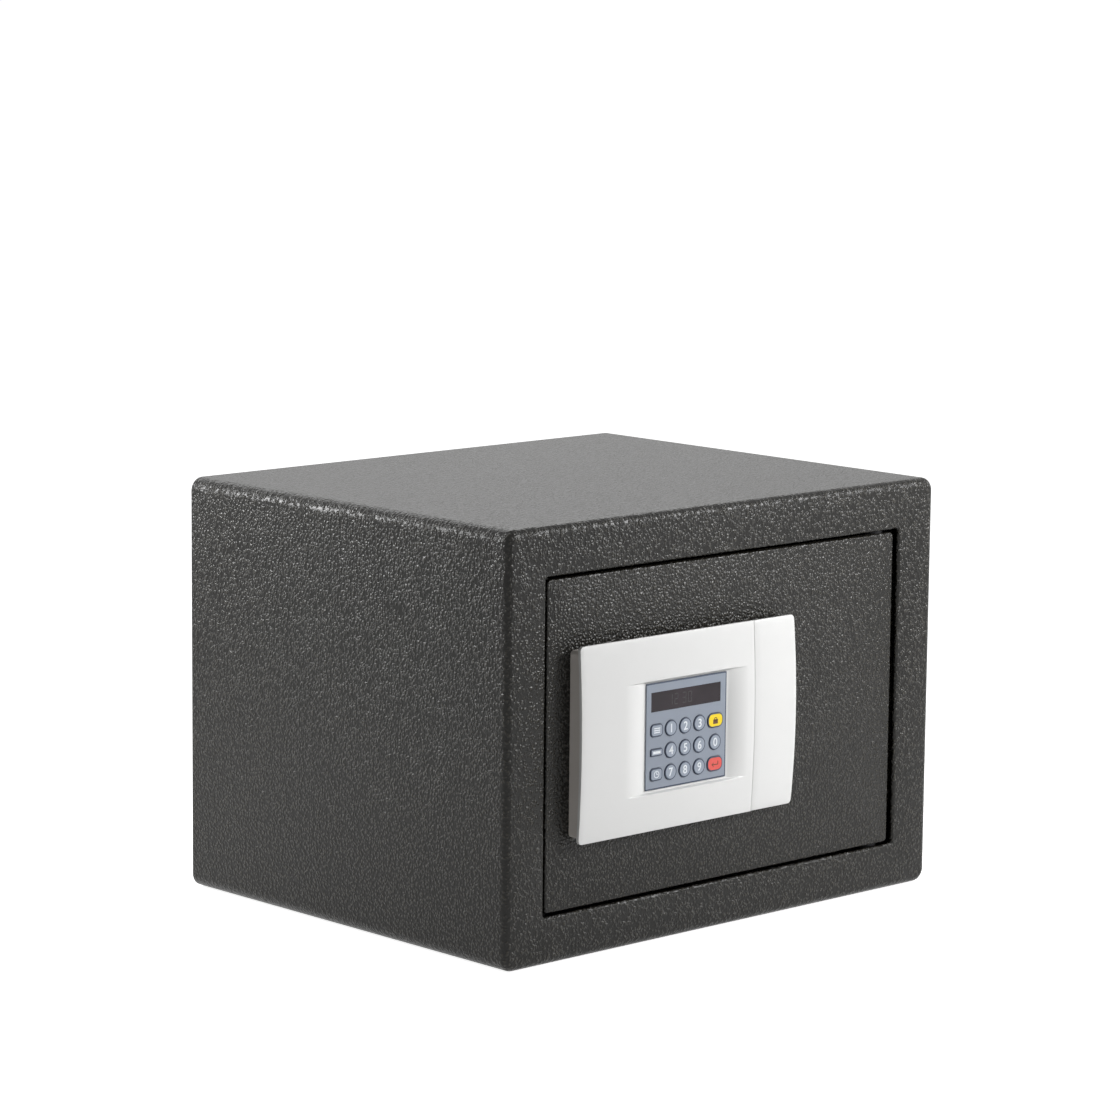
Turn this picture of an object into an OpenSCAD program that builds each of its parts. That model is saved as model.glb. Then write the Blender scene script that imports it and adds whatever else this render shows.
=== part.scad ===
// Furniture safe with a motorised two-bolt lock, a keypad panel and an emergency key lock.
// Millimetres. The origin is the centre of the cabinet's base, +Z is up and the door faces -Y.
// Most modules work in door coordinates, where y = 0 is the cabinet's front face.

/* [Cabinet] */
// Outside width of the cabinet
body_w = 350; // [330:1:420]
// Outside height of the cabinet
body_h = 250; // [240:1:320]
// Outside depth of the cabinet
body_d = 280; // [200:1:380]
// Thickness of the cabinet steel
body_steel = 2; // [1.5:0.1:2.5]
// Radius along the long edges of the cabinet
edge_r = 8; // [6:0.5:10]
// Bend radius between the sides and the front frame
front_r = 4.5; // [3.5:0.5:6]
// Width of the front frame on the lock side
lock_border = 28; // [26:0.5:32]
// Width of the front frame on the hinge side
hinge_border = 31; // [29:0.5:34]
// Height of the front frame above the door
top_border = 27.5; // [25:0.5:32]
// Height of the front frame below the door
bottom_border = 26.5; // [25:0.5:32]
// Chamfer on the front edge of the door opening
opening_chamfer = 0.8; // [0.4:0.1:1]
// Radius of an anchor hole
anchor_r = 5; // [4:0.5:6.5]
// Distance between the two anchor holes in the back
back_anchor_pitch = 200; // [120:5:240]
// Height of the anchor holes in the back
back_anchor_z = 160; // [120:5:190]
// Distance between the two anchor holes in the floor
floor_anchor_pitch = 160; // [100:5:200]
// Thickness of the floor mat
mat_t = 2.5; // [1.5:0.5:4]

/* [Door] */
// Thickness of the door plate
door_t = 4; // [3:0.5:5]
// Gap around the door on the lock side, top and bottom
door_gap = 3; // [2.5:0.25:3.5]
// Gap beside the door on the hinge side
hinge_gap = 4; // [3.5:0.25:5]
// How far the door face lies behind the cabinet's front face
door_recess = 1; // [0.5:0.25:1.5]
// Rounding of the door plate's corners
door_corner_r = 2.5; // [1:0.5:4]
// Radius of a hinge pin
pin_r = 4; // [3.5:0.25:4.5]
// Running clearance of pins and shafts in their bores, on the radius
run_clear = 0.05; // [0.02:0.01:0.08]

/* [Bolt work] */
// Radius of a locking bolt
bolt_r = 10; // [8:0.5:11]
// Distance between the two bolt axes
bolt_pitch = 110; // [100:1:120]
// Length of a locking bolt
bolt_len = 35.5; // [33:0.5:36]
// Distance that the motor throws the bolts
bolt_throw = 12; // [9:0.5:12]
// Number of pinion teeth
pinion_teeth = 18; // [18:1:20]
// Gear module of pinion and rack
gear_module = 1; // [0.9:0.05:1]
// Thickness of the pinion
pinion_t = 8; // [6:0.5:8]
// Thickness of the lock cover's sheet
cover_t = 1.2; // [1:0.1:1.5]
// Depth of the lock cover behind the door plate
cover_depth = 38; // [37:0.5:42]

/* [Lock panel] */
// Width of the lock panel
panel_w = 173.5; // [170:0.5:178]
// Height of the lock panel
panel_h = 113; // [111:0.5:118]
// Width of the key cover at the panel's right end
key_cover_w = 35; // [34:0.5:36]
// Height of the panel over the cabinet's front face at mid height
panel_rise = 10; // [10:0.25:14]
// How much lower the panel surface is at its top and bottom edges
panel_bow = 2; // [1.5:0.25:2.5]
// Wall of the moulded panel parts
panel_wall = 2.2; // [1.8:0.1:2.5]
// Width of the keypad plate
pad_w = 64.5; // [64:0.5:66]
// Height of the keypad plate
pad_h = 62; // [61:0.5:63]
// Thickness of the keypad plate
pad_t = 0.8; // [0.6:0.1:1]
// Radius of a digit key
key_r = 4.6; // [4.2:0.1:4.8]
// Distance that a key travels
key_travel = 0.6; // [0.4:0.1:0.7]

/* [Hidden] */
$fn = 64;

steel_colour = "#3f3e3a";
zinc_colour = "#b9bcc0";
white_colour = "#e9e9e7";
foil_colour = "#97a1b1";
black_colour = "#26262a";

// Gap between neighbouring pieces of one body that are laid against each other
seat_gap = 0.1;
// Opening of the front frame
open_l = -body_w / 2 + lock_border;
open_r = body_w / 2 - hinge_border;
open_b = bottom_border;
open_t = body_h - top_border;
opening_corner_r = 2;
// Half height of the door, where the bolts, the lock and the panel are centred
mid_z = (open_b + open_t) / 2;
inner_w = body_w / 2 - body_steel;

door_l = open_l + door_gap;
door_r = open_r - hinge_gap;
door_b = open_b + door_gap;
door_top = open_t - door_gap;
door_front = door_recess;
door_back = door_recess + door_t;
door_edge = 1;

// Hinge: pins behind the door plate, close to its hinge edge
pivot_inset = 10;
pivot_depth = 5;
pivot_x = door_r - pivot_inset;
pivot_y = door_back + pivot_depth;
bracket_t = 3;
bracket_reach = 11;
lug_h = 13;
lug_r = 8;
collar_r = 7;

// Strike strip behind the lock side of the frame
strike_t = 2;
strike_gap = 1.5;
strike_y = door_back + strike_gap;
strike_cover = 5;
strike_notch = 2 * bolt_r + 3;

// Bolt work, in the plane behind the door plate
bolt_y = door_back + 2 + bolt_r;
bolt_tip_x = door_l + 0.5;
bolt_root_x = bolt_tip_x + bolt_len;
bolt_z = [mid_z - bolt_pitch / 2, mid_z + bolt_pitch / 2];
bolt_tip_chamfer = 1.5;
carriage_t = 3;
carriage_ear = 15;
guide_t = 3;
guide_x = bolt_root_x - bolt_throw - 1;
guide_foot = 12;
foot_t = 2;
screw_r = 3;
screw_head_r = 5;

// Rack below the emergency lock, so that its peg can be reached by the cam
rack_drop = 16;
rack_h = 9;
rack_z = mid_z - rack_drop;
rack_y = door_back + 9;
rack_bar_t = 4;
rack_root_y = rack_y + rack_bar_t;
rack_pitch_y = rack_root_y + 1.25 * gear_module;
rack_teeth = 11;
backlash = 0.2;
pinion_pitch_r = gear_module * pinion_teeth / 2;
pinion_x = -50;
pinion_y = rack_pitch_y + pinion_pitch_r;
shaft_r = 2.5;

gearbox_w = 24;
gearbox_d = 20;
gearbox_h = 17.5;
gearbox_z = rack_z + rack_h / 2 + 4.5;
motor_r = 11;
motor_h = 30;
motor_plate_t = 2;

// Inner case
cover_l = bolt_tip_x + 15.5;
cover_r = 66;
cover_b = door_b + 6.5;
cover_top = door_top - 6.5;
cover_y = door_back + cover_depth;
cover_corner_r = 3;
tab_l = 8;
tab_h = 16;
tab_screw_r = 3.3;
cover_tabs = [
    [cover_l - tab_l / 2, mid_z - 20], [cover_l - tab_l / 2, mid_z + 20],
    [cover_r + tab_l / 2, mid_z - 64], [cover_r + tab_l / 2, mid_z + 64]
];

// Battery compartment for four AA cells
cell_r = 7.1;
cell_len = 50.2;
cell_count = 4;
cell_pitch = 15;
holder_wall = 1.5;
holder_w = cell_count * cell_pitch + 2 * holder_wall + 1;
holder_h = cell_len + 8;
holder_d = 17;
holder_x = -15;
holder_z = rack_z - rack_h / 2 - holder_h - 1;
holder_y = cover_y - cover_t - 0.2 - holder_d;
cell_y = holder_y + holder_wall + cell_r + 0.1;
contact_r = 5;
lid_margin = 3.5;
lid_t = 2;
rail_t = 2;
lid_slack = 0.3;

// Control board on standoffs
board_t = 1.6;
board_x = [-28, 60];
board_z = [mid_z + 16, mid_z + 82];
board_y = door_back + 19;
standoff_r = 3;
standoff_in = 4;
cable_x = -20;
cable_z = mid_z + 25;
cable_r = 7;
cable_w = 8;
cable_t = 1;
connector_h = 5;

// Lock panel, centred on the door's half height
panel_l = -127;
panel_r = panel_l + panel_w;
panel_b = mid_z - panel_h / 2;
panel_t = mid_z + panel_h / 2;
panel_corner_r = 2.5;
seam = 0.4;
seam_x = panel_r - key_cover_w;
// The panel's front surface is part of a large cylinder with its axis along X
bow_r = (pow(panel_h / 2, 2) + pow(panel_bow, 2)) / (2 * panel_bow);
// The right edge bulges outwards between its corners, on a second large radius
side_bulge = 1.2;
side_half = panel_h / 2 - panel_corner_r;
side_r = (pow(side_half, 2) + pow(side_bulge, 2)) / (2 * side_bulge);
base_step = 3;
base_side_step = 0.8;
base_end = 4.8;
shadow_gap = 0.3;
base_floor = 1.6;
base_front = door_front - base_floor;
boss_r = 3.5;
panel_screw_r = 2;
panel_screw_x = [-95, 0];
panel_screw_z = [mid_z - 44.5, mid_z + 44.5];
panel_screw_tip = 5.5 - panel_rise;
tongue_t = 2;

// Emergency lock, behind the key cover
cyl_x = seam_x + 17;
cyl_r = 9.5;
plug_r = 6.5;
plug_head_t = 0.9;
cyl_front = panel_bow + panel_wall + 1.3 - panel_rise;
cyl_back = door_back + 17;
cam_t = 2;
cam_y = cyl_back + 2;
cam_len = 18;
cam_half_w = 4;
peg_r = 2.5;
peg_x = cyl_x + cam_half_w + peg_r + 1;

// Keypad, sunk into the panel between two long ramps
pad_l = (panel_l + seam_x) / 2 + 16.3 - pad_w / 2;
pad_b = mid_z - 33;
pad_floor = 3.8 - panel_rise;
pad_front = pad_floor - pad_t;
recess_rim = 1.5;
ramp_l = 17.5;
ramp_r = 14;
ramp_ease = 1.8;
ramp_wall = 1.6;
pad_window_rim = 1.5;
ramp_steps = 12;
display_l = pad_l + 3.6;
display_w = 56;
display_b = pad_b + 45.1;
display_h = 11.4;

// Keys: column and row centres, counted from the keypad plate's lower left corner
key_col = [pad_l + 8, pad_l + 19.5, pad_l + 31, pad_l + 42.5, pad_l + 55.3];
key_row = [pad_b + 8.8, pad_b + 21.6, pad_b + 34.4];
key_gap = 0.4;
key_rise = 0.6;
key_flange = 0.5;
flange_t = 0.9;
key_stem_r = 1.8;
stem_len = 1;
flange_y = pad_floor + seat_gap;
stem_end_y = flange_y + flange_t + stem_len;
mat_y = stem_end_y + key_travel + 0.1;
key_mat_t = 0.8;
keypad_board_y = mat_y + key_mat_t + seat_gap;

// Moves door coordinates to the part's origin
module at_front() {
    translate([0, -body_d / 2, 0]) children();
}

// Plate between two depths, cut from an outline in x and z
module slab(y0, y1) {
    translate([0, y1, 0]) rotate([90, 0, 0]) linear_extrude(height = y1 - y0) children();
}

module block(x, y, z) {
    translate([x[0], y[0], z[0]]) cube([x[1] - x[0], y[1] - y[0], z[1] - z[0]]);
}

module rod_x(y, z, r, x) {
    translate([x[0], y, z]) rotate([0, 90, 0]) cylinder(r = r, h = x[1] - x[0]);
}

module rod_y(x, z, r, y) {
    translate([x, y[1], z]) rotate([90, 0, 0]) cylinder(r = r, h = y[1] - y[0]);
}

module rod_z(x, y, r, z) {
    translate([x, y, z[0]]) cylinder(r = r, h = z[1] - z[0]);
}

// Rectangle with true round corners
module round_rect(x, z, r) {
    translate([x[0] + r, z[0]]) square([x[1] - x[0] - 2 * r, z[1] - z[0]]);
    translate([x[0], z[0] + r]) square([x[1] - x[0], z[1] - z[0] - 2 * r]);
    for (cx = [x[0] + r, x[1] - r], cz = [z[0] + r, z[1] - r])
        translate([cx, cz]) circle(r);
}

// Copies a piece to the mirrored place on the other side of the door's half height
module both_ends() {
    children();
    translate([0, 0, 2 * mid_z]) mirror([0, 0, 1]) children();
}

// Cabinet

// Solid form of the cabinet, drawn in by inset: round long edges and a bent front edge
module cabinet_form(inset, back) {
    long_r = edge_r - inset;
    bend_r = front_r - inset;
    side = body_w / 2 - inset - long_r;
    hull() {
        for (x = [-side, side], z = [edge_r, body_h - edge_r]) {
            translate([x, front_r, z]) rotate([90, 0, 0]) rotate_extrude($fn = 32) intersection() {
                translate([long_r - bend_r, 0]) circle(bend_r, $fn = 32);
                translate([0, -bend_r]) square([long_r, 2 * bend_r]);
            }
            translate([x, back, z]) rotate([90, 0, 0]) cylinder(r = long_r, h = 1, $fn = 32);
        }
    }
}

module back_anchor_holes() {
    for (x = [-1, 1])
        rod_y(x * back_anchor_pitch / 2, back_anchor_z, anchor_r, [body_d - 5, body_d + 1]);
}

module floor_anchor_holes(r) {
    for (x = [-1, 1])
        rod_z(x * floor_anchor_pitch / 2, body_d / 2, r, [-1, body_steel + mat_t + 1]);
}

// Space behind the front frame's rolled edge
module behind_frame() {
    block([-body_w, body_w], [front_r, body_d + 2], [-1, body_h + 1]);
}

// Sheet folded to a tube: its ends are welded to the front frame and the back panel
module cabinet_shell() {
    color(steel_colour) at_front() difference() {
        intersection() {
            cabinet_form(0, body_d);
            behind_frame();
        }
        cabinet_form(body_steel, body_d + 1);
        floor_anchor_holes(anchor_r);
    }
}

// Pressed frame round the door, with its rolled outer edge
module front_frame() {
    color(steel_colour) at_front() difference() {
        cabinet_form(0, body_d);
        cabinet_form(body_steel, body_d + 1);
        behind_frame();
        slab(-1, body_steel + 1)
            round_rect([open_l, open_r], [open_b, open_t], opening_corner_r);
        hull() {
            c = opening_chamfer;
            block([open_l - c, open_r + c], [-0.02, -0.01], [open_b - c, open_t + c]);
            block([open_l, open_r], [c, c + 0.01], [open_b, open_t]);
        }
    }
}

module back_panel() {
    color(steel_colour) at_front() difference() {
        slab(body_d - body_steel, body_d)
            round_rect([seat_gap - inner_w, inner_w - seat_gap],
                [body_steel + seat_gap, body_h - body_steel - seat_gap],
                edge_r - body_steel - seat_gap);
        back_anchor_holes();
    }
}

// Angle welded behind the frame: its front leg stops the door, its notches pass the bolts
module strike_strip() {
    leg_x = open_l - 18;
    z = [open_b - 12, open_t + 12];
    color(steel_colour) at_front() difference() {
        union() {
            block([leg_x, open_l + door_gap + strike_cover], [strike_y, strike_y + strike_t], z);
            block([leg_x, leg_x + strike_t], [body_steel, strike_y + strike_t], z);
        }
        for (bz = bolt_z)
            block([bolt_tip_x - bolt_throw - 3, door_l + strike_cover + 1],
                [strike_y - 1, strike_y + strike_t + 1],
                [bz - strike_notch / 2, bz + strike_notch / 2]);
    }
}

// Bearing plate behind the frame, welded to the frame and the side, with a gusset below
module hinge_bracket() {
    top = open_b - 2;
    difference() {
        union() {
            block([pivot_x, inner_w - seat_gap], [body_steel, pivot_y + bracket_reach],
                [top - bracket_t, top]);
            block([pivot_x - bracket_reach, pivot_x + 1], [body_steel, pivot_y],
                [top - bracket_t, top]);
            rod_z(pivot_x, pivot_y, bracket_reach, [top - bracket_t, top]);
            block([inner_w - 8, inner_w - 8 + bracket_t], [body_steel, pivot_y + bracket_reach],
                [top - bracket_t - 9, top - bracket_t]);
        }
        rod_z(pivot_x, pivot_y, pin_r + run_clear, [top - bracket_t - 1, top + 1]);
        block([pivot_x - 20, pivot_x + 20], [pivot_y - bracket_reach - 1, body_steel],
            [top - bracket_t - 1, top + 1]);
        // Notch for the inside of the cabinet's bend
        block([inner_w - front_r, inner_w + 1], [body_steel - 1, front_r + seat_gap],
            [top - bracket_t - 10, top + 1]);
    }
}

module hinge_brackets() {
    color(steel_colour) at_front() both_ends() hinge_bracket();
}

module floor_mat() {
    side = inner_w - (edge_r - body_steel) - 0.5;
    color("dimgray") at_front() difference() {
        block([-side, side], [front_r + 1, body_d - body_steel - 1],
            [body_steel, body_steel + mat_t]);
        floor_anchor_holes(anchor_r + 3);
    }
}

// Door

module door_outline(inset) {
    round_rect([door_l + inset, door_r - inset], [door_b + inset, door_top - inset],
        door_corner_r);
}

module door_plate() {
    color(steel_colour) at_front() difference() {
        union() {
            slab(door_front + door_edge, door_back) door_outline(0);
            hull() {
                slab(door_front, door_front + 0.01) door_outline(door_edge, $fn = 32);
                slab(door_front + door_edge, door_front + door_edge + 0.01)
                    door_outline(0, $fn = 32);
            }
        }
        for (x = panel_screw_x, z = panel_screw_z)
            rod_y(x, z, panel_screw_r + 0.3, [door_front - 1, door_back + 1]);
        rod_y(cyl_x, mid_z, cyl_r + 0.1, [door_front - 1, door_back + 1]);
        rod_y(cable_x, cable_z, cable_r, [door_front - 1, door_back + 1]);
        for (t = cover_tabs)
            rod_y(t[0], t[1], 1.9, [door_back - 3, door_back + 1]);
    }
}

// Strip that reaches behind the frame, so that the door can't be lifted out at the hinge side
module hinge_flange() {
    z = [door_b + lug_h + 6, door_top - lug_h - 6];
    color(steel_colour) at_front()
        slab(door_back, door_back + foot_t) round_rect([door_r - 20, open_r + 8], z, 2);
}

module hinge_lug() {
    z = [door_b, door_b + lug_h];
    difference() {
        union() {
            block([pivot_x - 14, pivot_x + lug_r], [door_back, pivot_y], z);
            rod_z(pivot_x, pivot_y, lug_r, z);
        }
        rod_z(pivot_x, pivot_y, pin_r + 0.02, [z[0] - 1, z[1] + 1]);
        block([pivot_x - 20, pivot_x + 20], [pivot_y - lug_r - 1, door_back],
            [z[0] - 1, z[1] + 1]);
    }
}

module hinge_lugs() {
    color(zinc_colour) at_front() both_ends() hinge_lug();
}

// Pin with a collar that carries the door on the lower bracket
module hinge_pin() {
    bracket_top = open_b - 2;
    rod_z(pivot_x, pivot_y, pin_r, [bracket_top - bracket_t - 4, door_b + lug_h + 1]);
    rod_z(pivot_x, pivot_y, collar_r, [bracket_top + run_clear, door_b]);
}

module hinge_pins() {
    color(zinc_colour) at_front() both_ends() hinge_pin();
}

module foot_holes(x, zs) {
    for (z = zs)
        rod_y(x, z, 2.2, [door_back - 1, door_back + foot_t + 1]);
}

// Folded bracket: the upright carries both bolts, the foot is riveted to the door plate
module bolt_guide() {
    z = [bolt_z[0] - carriage_ear, bolt_z[1] + carriage_ear];
    color(zinc_colour) at_front() difference() {
        union() {
            block([guide_x - guide_t, guide_x], [door_back, bolt_y + bolt_r + 4], z);
            block([guide_x - 1, guide_x + guide_foot], [door_back, door_back + foot_t], z);
        }
        for (bz = bolt_z)
            rod_x(bolt_y, bz, bolt_r + run_clear, [guide_x - guide_t - 1, guide_x + 1]);
        for (dz = [-18, 18])
            rod_x(bolt_y, mid_z + dz, 9, [guide_x - guide_t - 1, guide_x + 1]);
        foot_holes(guide_x + guide_foot - 5, [mid_z - 30, mid_z + 30]);
    }
}

module rack_guide() {
    x = -6;
    slack = 0.3;
    z = [rack_z - rack_h / 2 - 6, rack_z + rack_h / 2 + 6];
    color(zinc_colour) at_front() difference() {
        union() {
            block([x, x + 2], [door_back, rack_root_y + 6], z);
            block([x, x + guide_foot], [door_back, door_back + foot_t], z);
        }
        block([x - 1, x + 3], [rack_y - slack, rack_root_y + slack],
            [rack_z - rack_h / 2 - slack, rack_z + rack_h / 2 + slack]);
        foot_holes(x + guide_foot - 4, [rack_z]);
    }
}

module motor_can() {
    z = gearbox_z + gearbox_h;
    color("silver") at_front() {
        rod_z(pinion_x, pinion_y, motor_r, [z, z + motor_h]);
        rod_z(pinion_x, pinion_y, 4, [z + motor_h, z + motor_h + 2.5]);
        for (x = [-6, 6])
            block([pinion_x + x - 0.4, pinion_x + x + 0.4], [pinion_y - 1.5, pinion_y + 1.5],
                [z + motor_h, z + motor_h + 4]);
    }
}

module motor_gearbox() {
    color("goldenrod") at_front() difference() {
        slab_z = [gearbox_z, gearbox_z + gearbox_h];
        block([pinion_x - gearbox_w / 2, pinion_x + gearbox_w / 2],
            [pinion_y - gearbox_d / 2, pinion_y + gearbox_d / 2], slab_z);
        rod_z(pinion_x, pinion_y, shaft_r + run_clear, [gearbox_z - 1, gearbox_z + 5]);
        for (z = [gearbox_z + 5.5, gearbox_z + 11.5], s = [-1, 1])
            block([pinion_x - 8, pinion_x + 8],
                [pinion_y + s * gearbox_d / 2 - 2, pinion_y + s * gearbox_d / 2 + 2],
                [z, z + 3.5]);
    }
}

module motor_bracket() {
    x = [pinion_x - 14, pinion_x + 14];
    z = [gearbox_z - motor_plate_t, gearbox_z];
    color(zinc_colour) at_front() difference() {
        union() {
            block(x, [door_back, pinion_y + gearbox_d / 2 + 1], z);
            block(x, [door_back, door_back + foot_t], [z[0], z[1] + 14]);
        }
        rod_z(pinion_x, pinion_y, shaft_r + 2, [z[0] - 1, z[1] + 1]);
        for (s = [-1, 1])
            rod_y(pinion_x + s * 9, z[1] + 8, 2.2, [door_back - 1, door_back + foot_t + 1]);
    }
}

// Folded case over the bolt work, with a battery opening and two rails for its lid
module lock_cover() {
    hx = [holder_x, holder_x + holder_w];
    hz = [holder_z, holder_z + holder_h];
    rail_x = [hx[0] - lid_margin, hx[1] + lid_margin];
    lip_y = [cover_y + lid_t + 2 * lid_slack, cover_y + lid_t + 2 * lid_slack + rail_t];
    low = [hz[0] - lid_margin - lid_slack - rail_t, hz[0] - lid_margin - lid_slack];
    high = [hz[1] + lid_margin + lid_slack, hz[1] + lid_margin + lid_slack + rail_t];
    color(black_colour) at_front() difference() {
        union() {
            slab(door_back, cover_y)
                round_rect([cover_l, cover_r], [cover_b, cover_top], cover_corner_r);
            for (t = cover_tabs)
                block([t[0] - tab_l / 2, t[0] + tab_l / 2],
                    [door_back, door_back + cover_t], [t[1] - tab_h / 2, t[1] + tab_h / 2]);
            for (z = [low, high])
                block(rail_x, [cover_y - 0.1, lip_y[1]], z);
            block(rail_x, lip_y, [low[0], low[1] + 2]);
            block(rail_x, lip_y, [high[0] - 2, high[1]]);
        }
        slab(door_back - 1, cover_y - cover_t)
            round_rect([cover_l + cover_t, cover_r - cover_t],
                [cover_b + cover_t, cover_top - cover_t], cover_corner_r - cover_t);
        block(hx, [cover_y - cover_t - 1, cover_y + 1], hz);
        for (z = bolt_z)
            rod_x(bolt_y, z, bolt_r + 0.8, [cover_l - 1, cover_l + cover_t + 1]);
        for (t = cover_tabs)
            rod_y(t[0], t[1], 2, [door_back - 1, door_back + cover_t + 1]);
    }
}

module screw(x, z, shank_r, head_r, y_tip, y_head, head_h) {
    rod_y(x, z, shank_r, [y_tip, y_head]);
    difference() {
        rod_y(x, z, head_r, [y_head, y_head + head_h]);
        for (turn = [0, 90])
            translate([x, y_head + head_h, z]) rotate([0, turn, 0])
                cube([head_r, 1.6, 0.8], center = true);
    }
}

module cover_screws() {
    color(zinc_colour) at_front() for (t = cover_tabs)
        screw(t[0], t[1], 1.8, tab_screw_r, door_back - 2.8, door_back + cover_t, 2.2);
}

// Tray for four cells on legs, open to the lid, with a rib between neighbouring cells
module battery_holder() {
    hx = [holder_x + 0.2, holder_x + holder_w - 0.2];
    hz = [holder_z + 0.2, holder_z + holder_h - 0.2];
    color(black_colour) at_front() {
        difference() {
            block(hx, [holder_y, holder_y + holder_d], hz);
            block([hx[0] + holder_wall, hx[1] - holder_wall],
                [holder_y + holder_wall, holder_y + holder_d + 1],
                [hz[0] + holder_wall, hz[1] - holder_wall]);
        }
        for (i = [1:cell_count - 1])
            block([holder_x + holder_w / 2 + (i - cell_count / 2) * cell_pitch - 0.3,
                    holder_x + holder_w / 2 + (i - cell_count / 2) * cell_pitch + 0.3],
                [holder_y + holder_wall, holder_y + holder_wall + 2.5], hz);
        for (x = [hx[0] + 4, hx[1] - 4], z = [hz[0] + 4, hz[1] - 4])
            rod_y(x, z, 3, [door_back, holder_y]);
    }
}

function cell_x(i) = holder_x + holder_w / 2 + (i - (cell_count - 1) / 2) * cell_pitch;

module battery_contacts() {
    low = holder_z + 0.2 + holder_wall;
    high = holder_z + holder_h - 0.2 - holder_wall;
    mid = holder_z + holder_h / 2;
    color("silver") at_front() for (i = [0:cell_count - 1]) {
        rod_z(cell_x(i), cell_y, contact_r, [low, low + 0.5]);
        translate([cell_x(i), cell_y, low + 0.5])
            cylinder(r1 = 4, r2 = 2.5, h = mid - cell_len / 2 - low - 0.5);
        rod_z(cell_x(i), cell_y, contact_r, [mid + cell_len / 2, high]);
    }
}

module battery_cells() {
    mid = holder_z + holder_h / 2;
    color("darkorange") at_front() for (i = [0:cell_count - 1]) {
        rod_z(cell_x(i), cell_y, cell_r, [mid - cell_len / 2, mid + cell_len / 2 - 1.2]);
        rod_z(cell_x(i), cell_y, 2.6, [mid + cell_len / 2 - 1.2, mid + cell_len / 2]);
    }
}

// Board with its parts: a relay, two capacitors, a controller and the ribbon's header
module control_board() {
    color("darkgreen") at_front() {
        difference() {
            block(board_x, [board_y, board_y + board_t], board_z);
            for (x = [board_x[0] + standoff_in, board_x[1] - standoff_in],
                    z = [board_z[0] + standoff_in, board_z[1] - standoff_in])
                rod_y(x, z, 1.6, [board_y - 1, board_y + board_t + 1]);
        }
        block([cable_x - cable_w / 2 - 1, cable_x + cable_w / 2 + 1],
            [board_y - connector_h, board_y], [cable_z + 1, cable_z + 7]);
        block([12, 31], [board_y + board_t, board_y + board_t + 9],
            [board_z[0] + 10, board_z[0] + 25]);
        block([-4, 6], [board_y + board_t, board_y + board_t + 2],
            [board_z[0] + 36, board_z[0] + 46]);
        for (x = [40, 50])
            rod_y(x, board_z[0] + 46, 4, [board_y + board_t, board_y + board_t + 10]);
    }
}

module board_standoffs() {
    color(zinc_colour) at_front()
        for (x = [board_x[0] + standoff_in, board_x[1] - standoff_in],
                z = [board_z[0] + standoff_in, board_z[1] - standoff_in]) {
            rod_y(x, z, standoff_r, [door_back, board_y]);
            rod_y(x, z, 1.5, [board_y, board_y + board_t]);
            rod_y(x, z, 2.8, [board_y + board_t, board_y + board_t + 1.5]);
        }
}

// Ribbon from the keypad board through the door plate, on a gentle S
module board_lead() {
    y0 = keypad_board_y + board_t;
    y1 = board_y - connector_h;
    z0 = cable_z - 2.5;
    rise = 6.5;
    steps = 14;
    path = [for (i = [0:steps]) let (t = i / steps)
        [y0 + (y1 - y0) * t, z0 + rise * t * t * (3 - 2 * t)]];
    outline = concat([for (p = path) [p[0], p[1] - cable_t / 2]],
        [for (i = [steps:-1:0]) [path[i][0], path[i][1] + cable_t / 2]]);
    color("lightgray") at_front() translate([cable_x - cable_w / 2, 0, 0])
        rotate([90, 0, 90]) linear_extrude(height = cable_w) polygon(outline);
}

// Emergency lock cylinder: its flange sits on the panel base, its nut behind the door plate
module cylinder_housing() {
    color("silver") at_front() difference() {
        union() {
            rod_y(cyl_x, mid_z, cyl_r, [cyl_front, cyl_back]);
            rod_y(cyl_x, mid_z, cyl_r + 2.5, [base_front - 2, base_front]);
        }
        rod_y(cyl_x, mid_z, plug_r + run_clear, [cyl_front - 1, cyl_back + 1]);
    }
}

module cylinder_nut() {
    color(zinc_colour) at_front() difference() {
        translate([cyl_x, door_back + 4, mid_z]) rotate([90, 0, 0])
            cylinder(r = cyl_r + 4, h = 4, $fn = 6);
        rod_y(cyl_x, mid_z, cyl_r + 0.02, [door_back - 1, door_back + 5]);
    }
}

// Lock panel

// Space behind the panel's bowed front surface, drawn in by inset
module bow(inset) {
    translate([panel_l - 10, bow_r - panel_rise, mid_z]) rotate([0, 90, 0])
        cylinder(r = bow_r - inset, h = panel_w + 20, $fn = 360);
}

// Outline of the whole panel, drawn in at top and bottom and at its bulging right edge
module panel_outline(z_inset, side_inset) {
    right = panel_r - side_bulge - side_inset;
    low = panel_b + z_inset;
    high = panel_t - z_inset;
    round_rect([panel_l, right], [low, high], panel_corner_r);
    intersection() {
        translate([right - 10, low + panel_corner_r])
            square([20, high - low - 2 * panel_corner_r]);
        translate([panel_r - side_inset - side_r, mid_z]) circle(side_r, $fn = 360);
    }
}

// Part of the panel outline between two x values
module panel_share(x0, x1) {
    intersection() {
        panel_outline(0, 0);
        translate([x0, panel_b - 1]) square([x1 - x0, panel_h + 2]);
    }
}

module base_outline(inset) {
    round_rect([panel_l + base_side_step + inset, panel_r - base_end],
        [panel_b + base_step + inset, panel_t - base_step - inset], panel_corner_r);
}

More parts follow.
